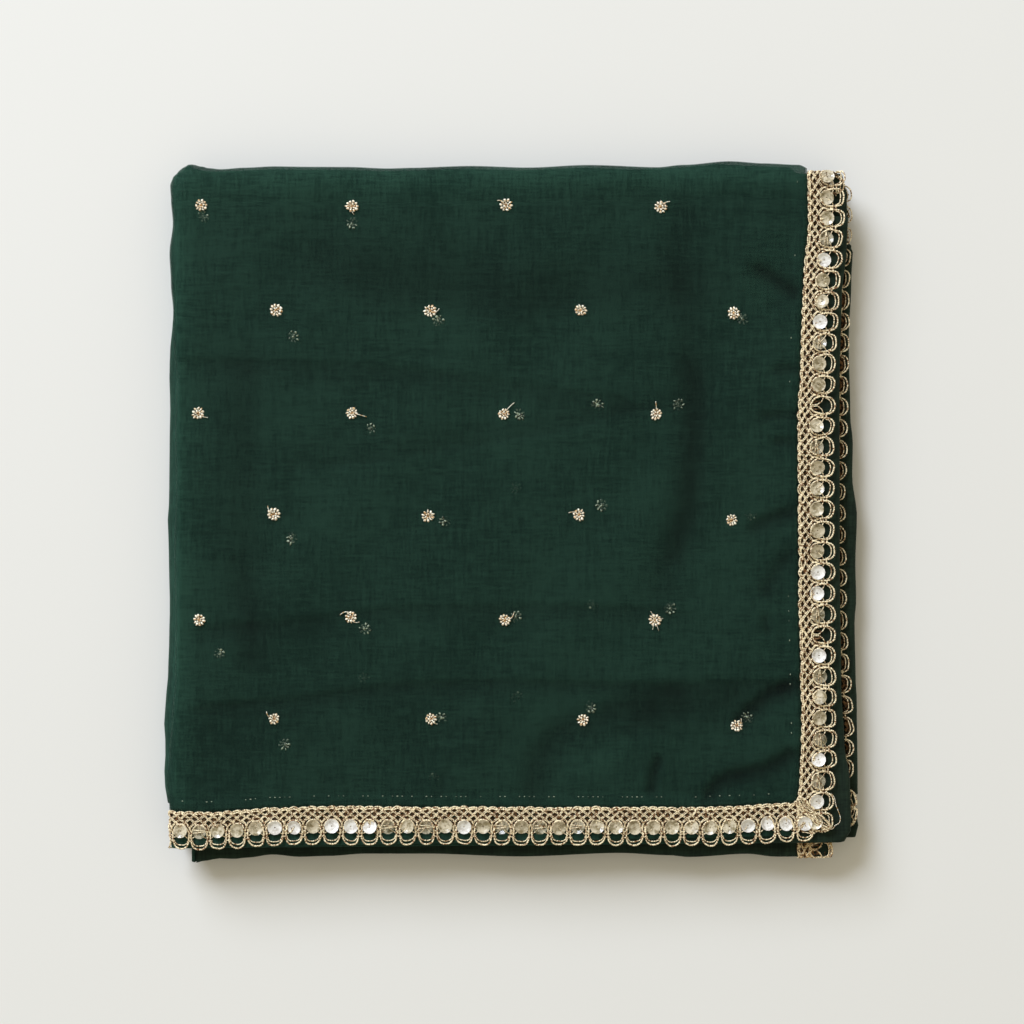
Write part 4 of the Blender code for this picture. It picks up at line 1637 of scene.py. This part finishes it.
curl_line = smoothed([tuple(on_panel(x, y, CURL_LIFT)) for x, y in CURL])
corner_curl = loose_threads("corner_curl", [(CURL_THICKNESS, curl_line)], "crochet_lace")

# %% Hem stitches
STITCH_SPACING = 2.3
STITCH_LIFT = 0.05


def build_stitch_tree():
    sockets = {"Line": "Object", "Bead": "Object", "Spacing": "Float", "Kept": "Float"}
    sockets.update({"Seed": "Int", "Material": "Material"})
    tree, given, add = new_tree("hem_stitches", sockets)
    steps = {"Curve": shape_of(tree, given["Line"]), "Length": given["Spacing"]}
    places = add("GeometryNodeResampleCurve", steps, mode="LENGTH")
    direction = {"Vector": add("GeometryNodeInputTangent")}
    along = add("FunctionNodeAlignRotationToVector", direction, axis="X")
    chance = {"Probability": given["Kept"], "Seed": given["Seed"]}
    kept = add("FunctionNodeRandomValue", chance, data_type="BOOLEAN")
    growth = {0: (0.5, 0.25, 0.3), 1: (1.1, 0.42, 0.5), "Seed": given["Seed"]}
    size = add("FunctionNodeRandomValue", growth, data_type="FLOAT_VECTOR")
    setting = {"Points": places, "Selection": kept, "Rotation": along, "Scale": size}
    setting["Instance"] = shape_of(tree, given["Bead"])
    stitches = add("GeometryNodeInstanceOnPoints", setting)
    return end_tree(tree, stitches, given["Material"])


stitch_tree = build_stitch_tree()


def sew_hem(name, places, kept, seed):
    values = {"Line": guide(name + "_line", places), "Bead": bead, "Kept": kept, "Seed": seed}
    values.update({"Spacing": STITCH_SPACING * MM, "Material": hem_thread})
    return ride_as(grow(name, stitch_tree, values), "buti_thread")


def inside_side_edge(x):
    return on_panel(x, read_table(PANEL_SOUTH_EDGE, x) + HEM_WIDTH, STITCH_LIFT)


def inside_end_edge(y):
    return on_panel(read_table(PANEL_EAST_EDGE, y) - HEM_WIDTH, y, STITCH_LIFT)


side_hem = [inside_side_edge(x) for x in shares(-158, 120, 140)]
end_hem = [inside_end_edge(y) for y in shares(-120, 155, 140)]
hem_stitches = [
    sew_hem("side_hem_stitches", side_hem, 0.5, 2),
    sew_hem("end_hem_stitches", end_hem, 0.12, 5),
]

# %% Clear the drawing aids
aids = [thing for thing in bpy.context.scene.objects if thing.type == "CURVE"]
shapes = [sequin_cup, threads_along_x, threads_along_y, bead]
for aid in [*aids, *shapes, top_points, next_points, deeper_points]:
    bpy.data.objects.remove(aid)

# %% [markdown]
# ## The pieces on the top panel
#
# The panel that faces up is almost a square, the folds that look out are long narrow strips,
# and all the rest of the stole lies inside the pack. The lace, the sequins, the flowers, the tails
# and the stitches sewn to the top panel are gathered in one list.

# %% The pieces on the top panel
on_top = [*side_pieces, *end_pieces, gathered_lace, corner_curl]
on_top += [top_flowers, tails, *hem_stitches]
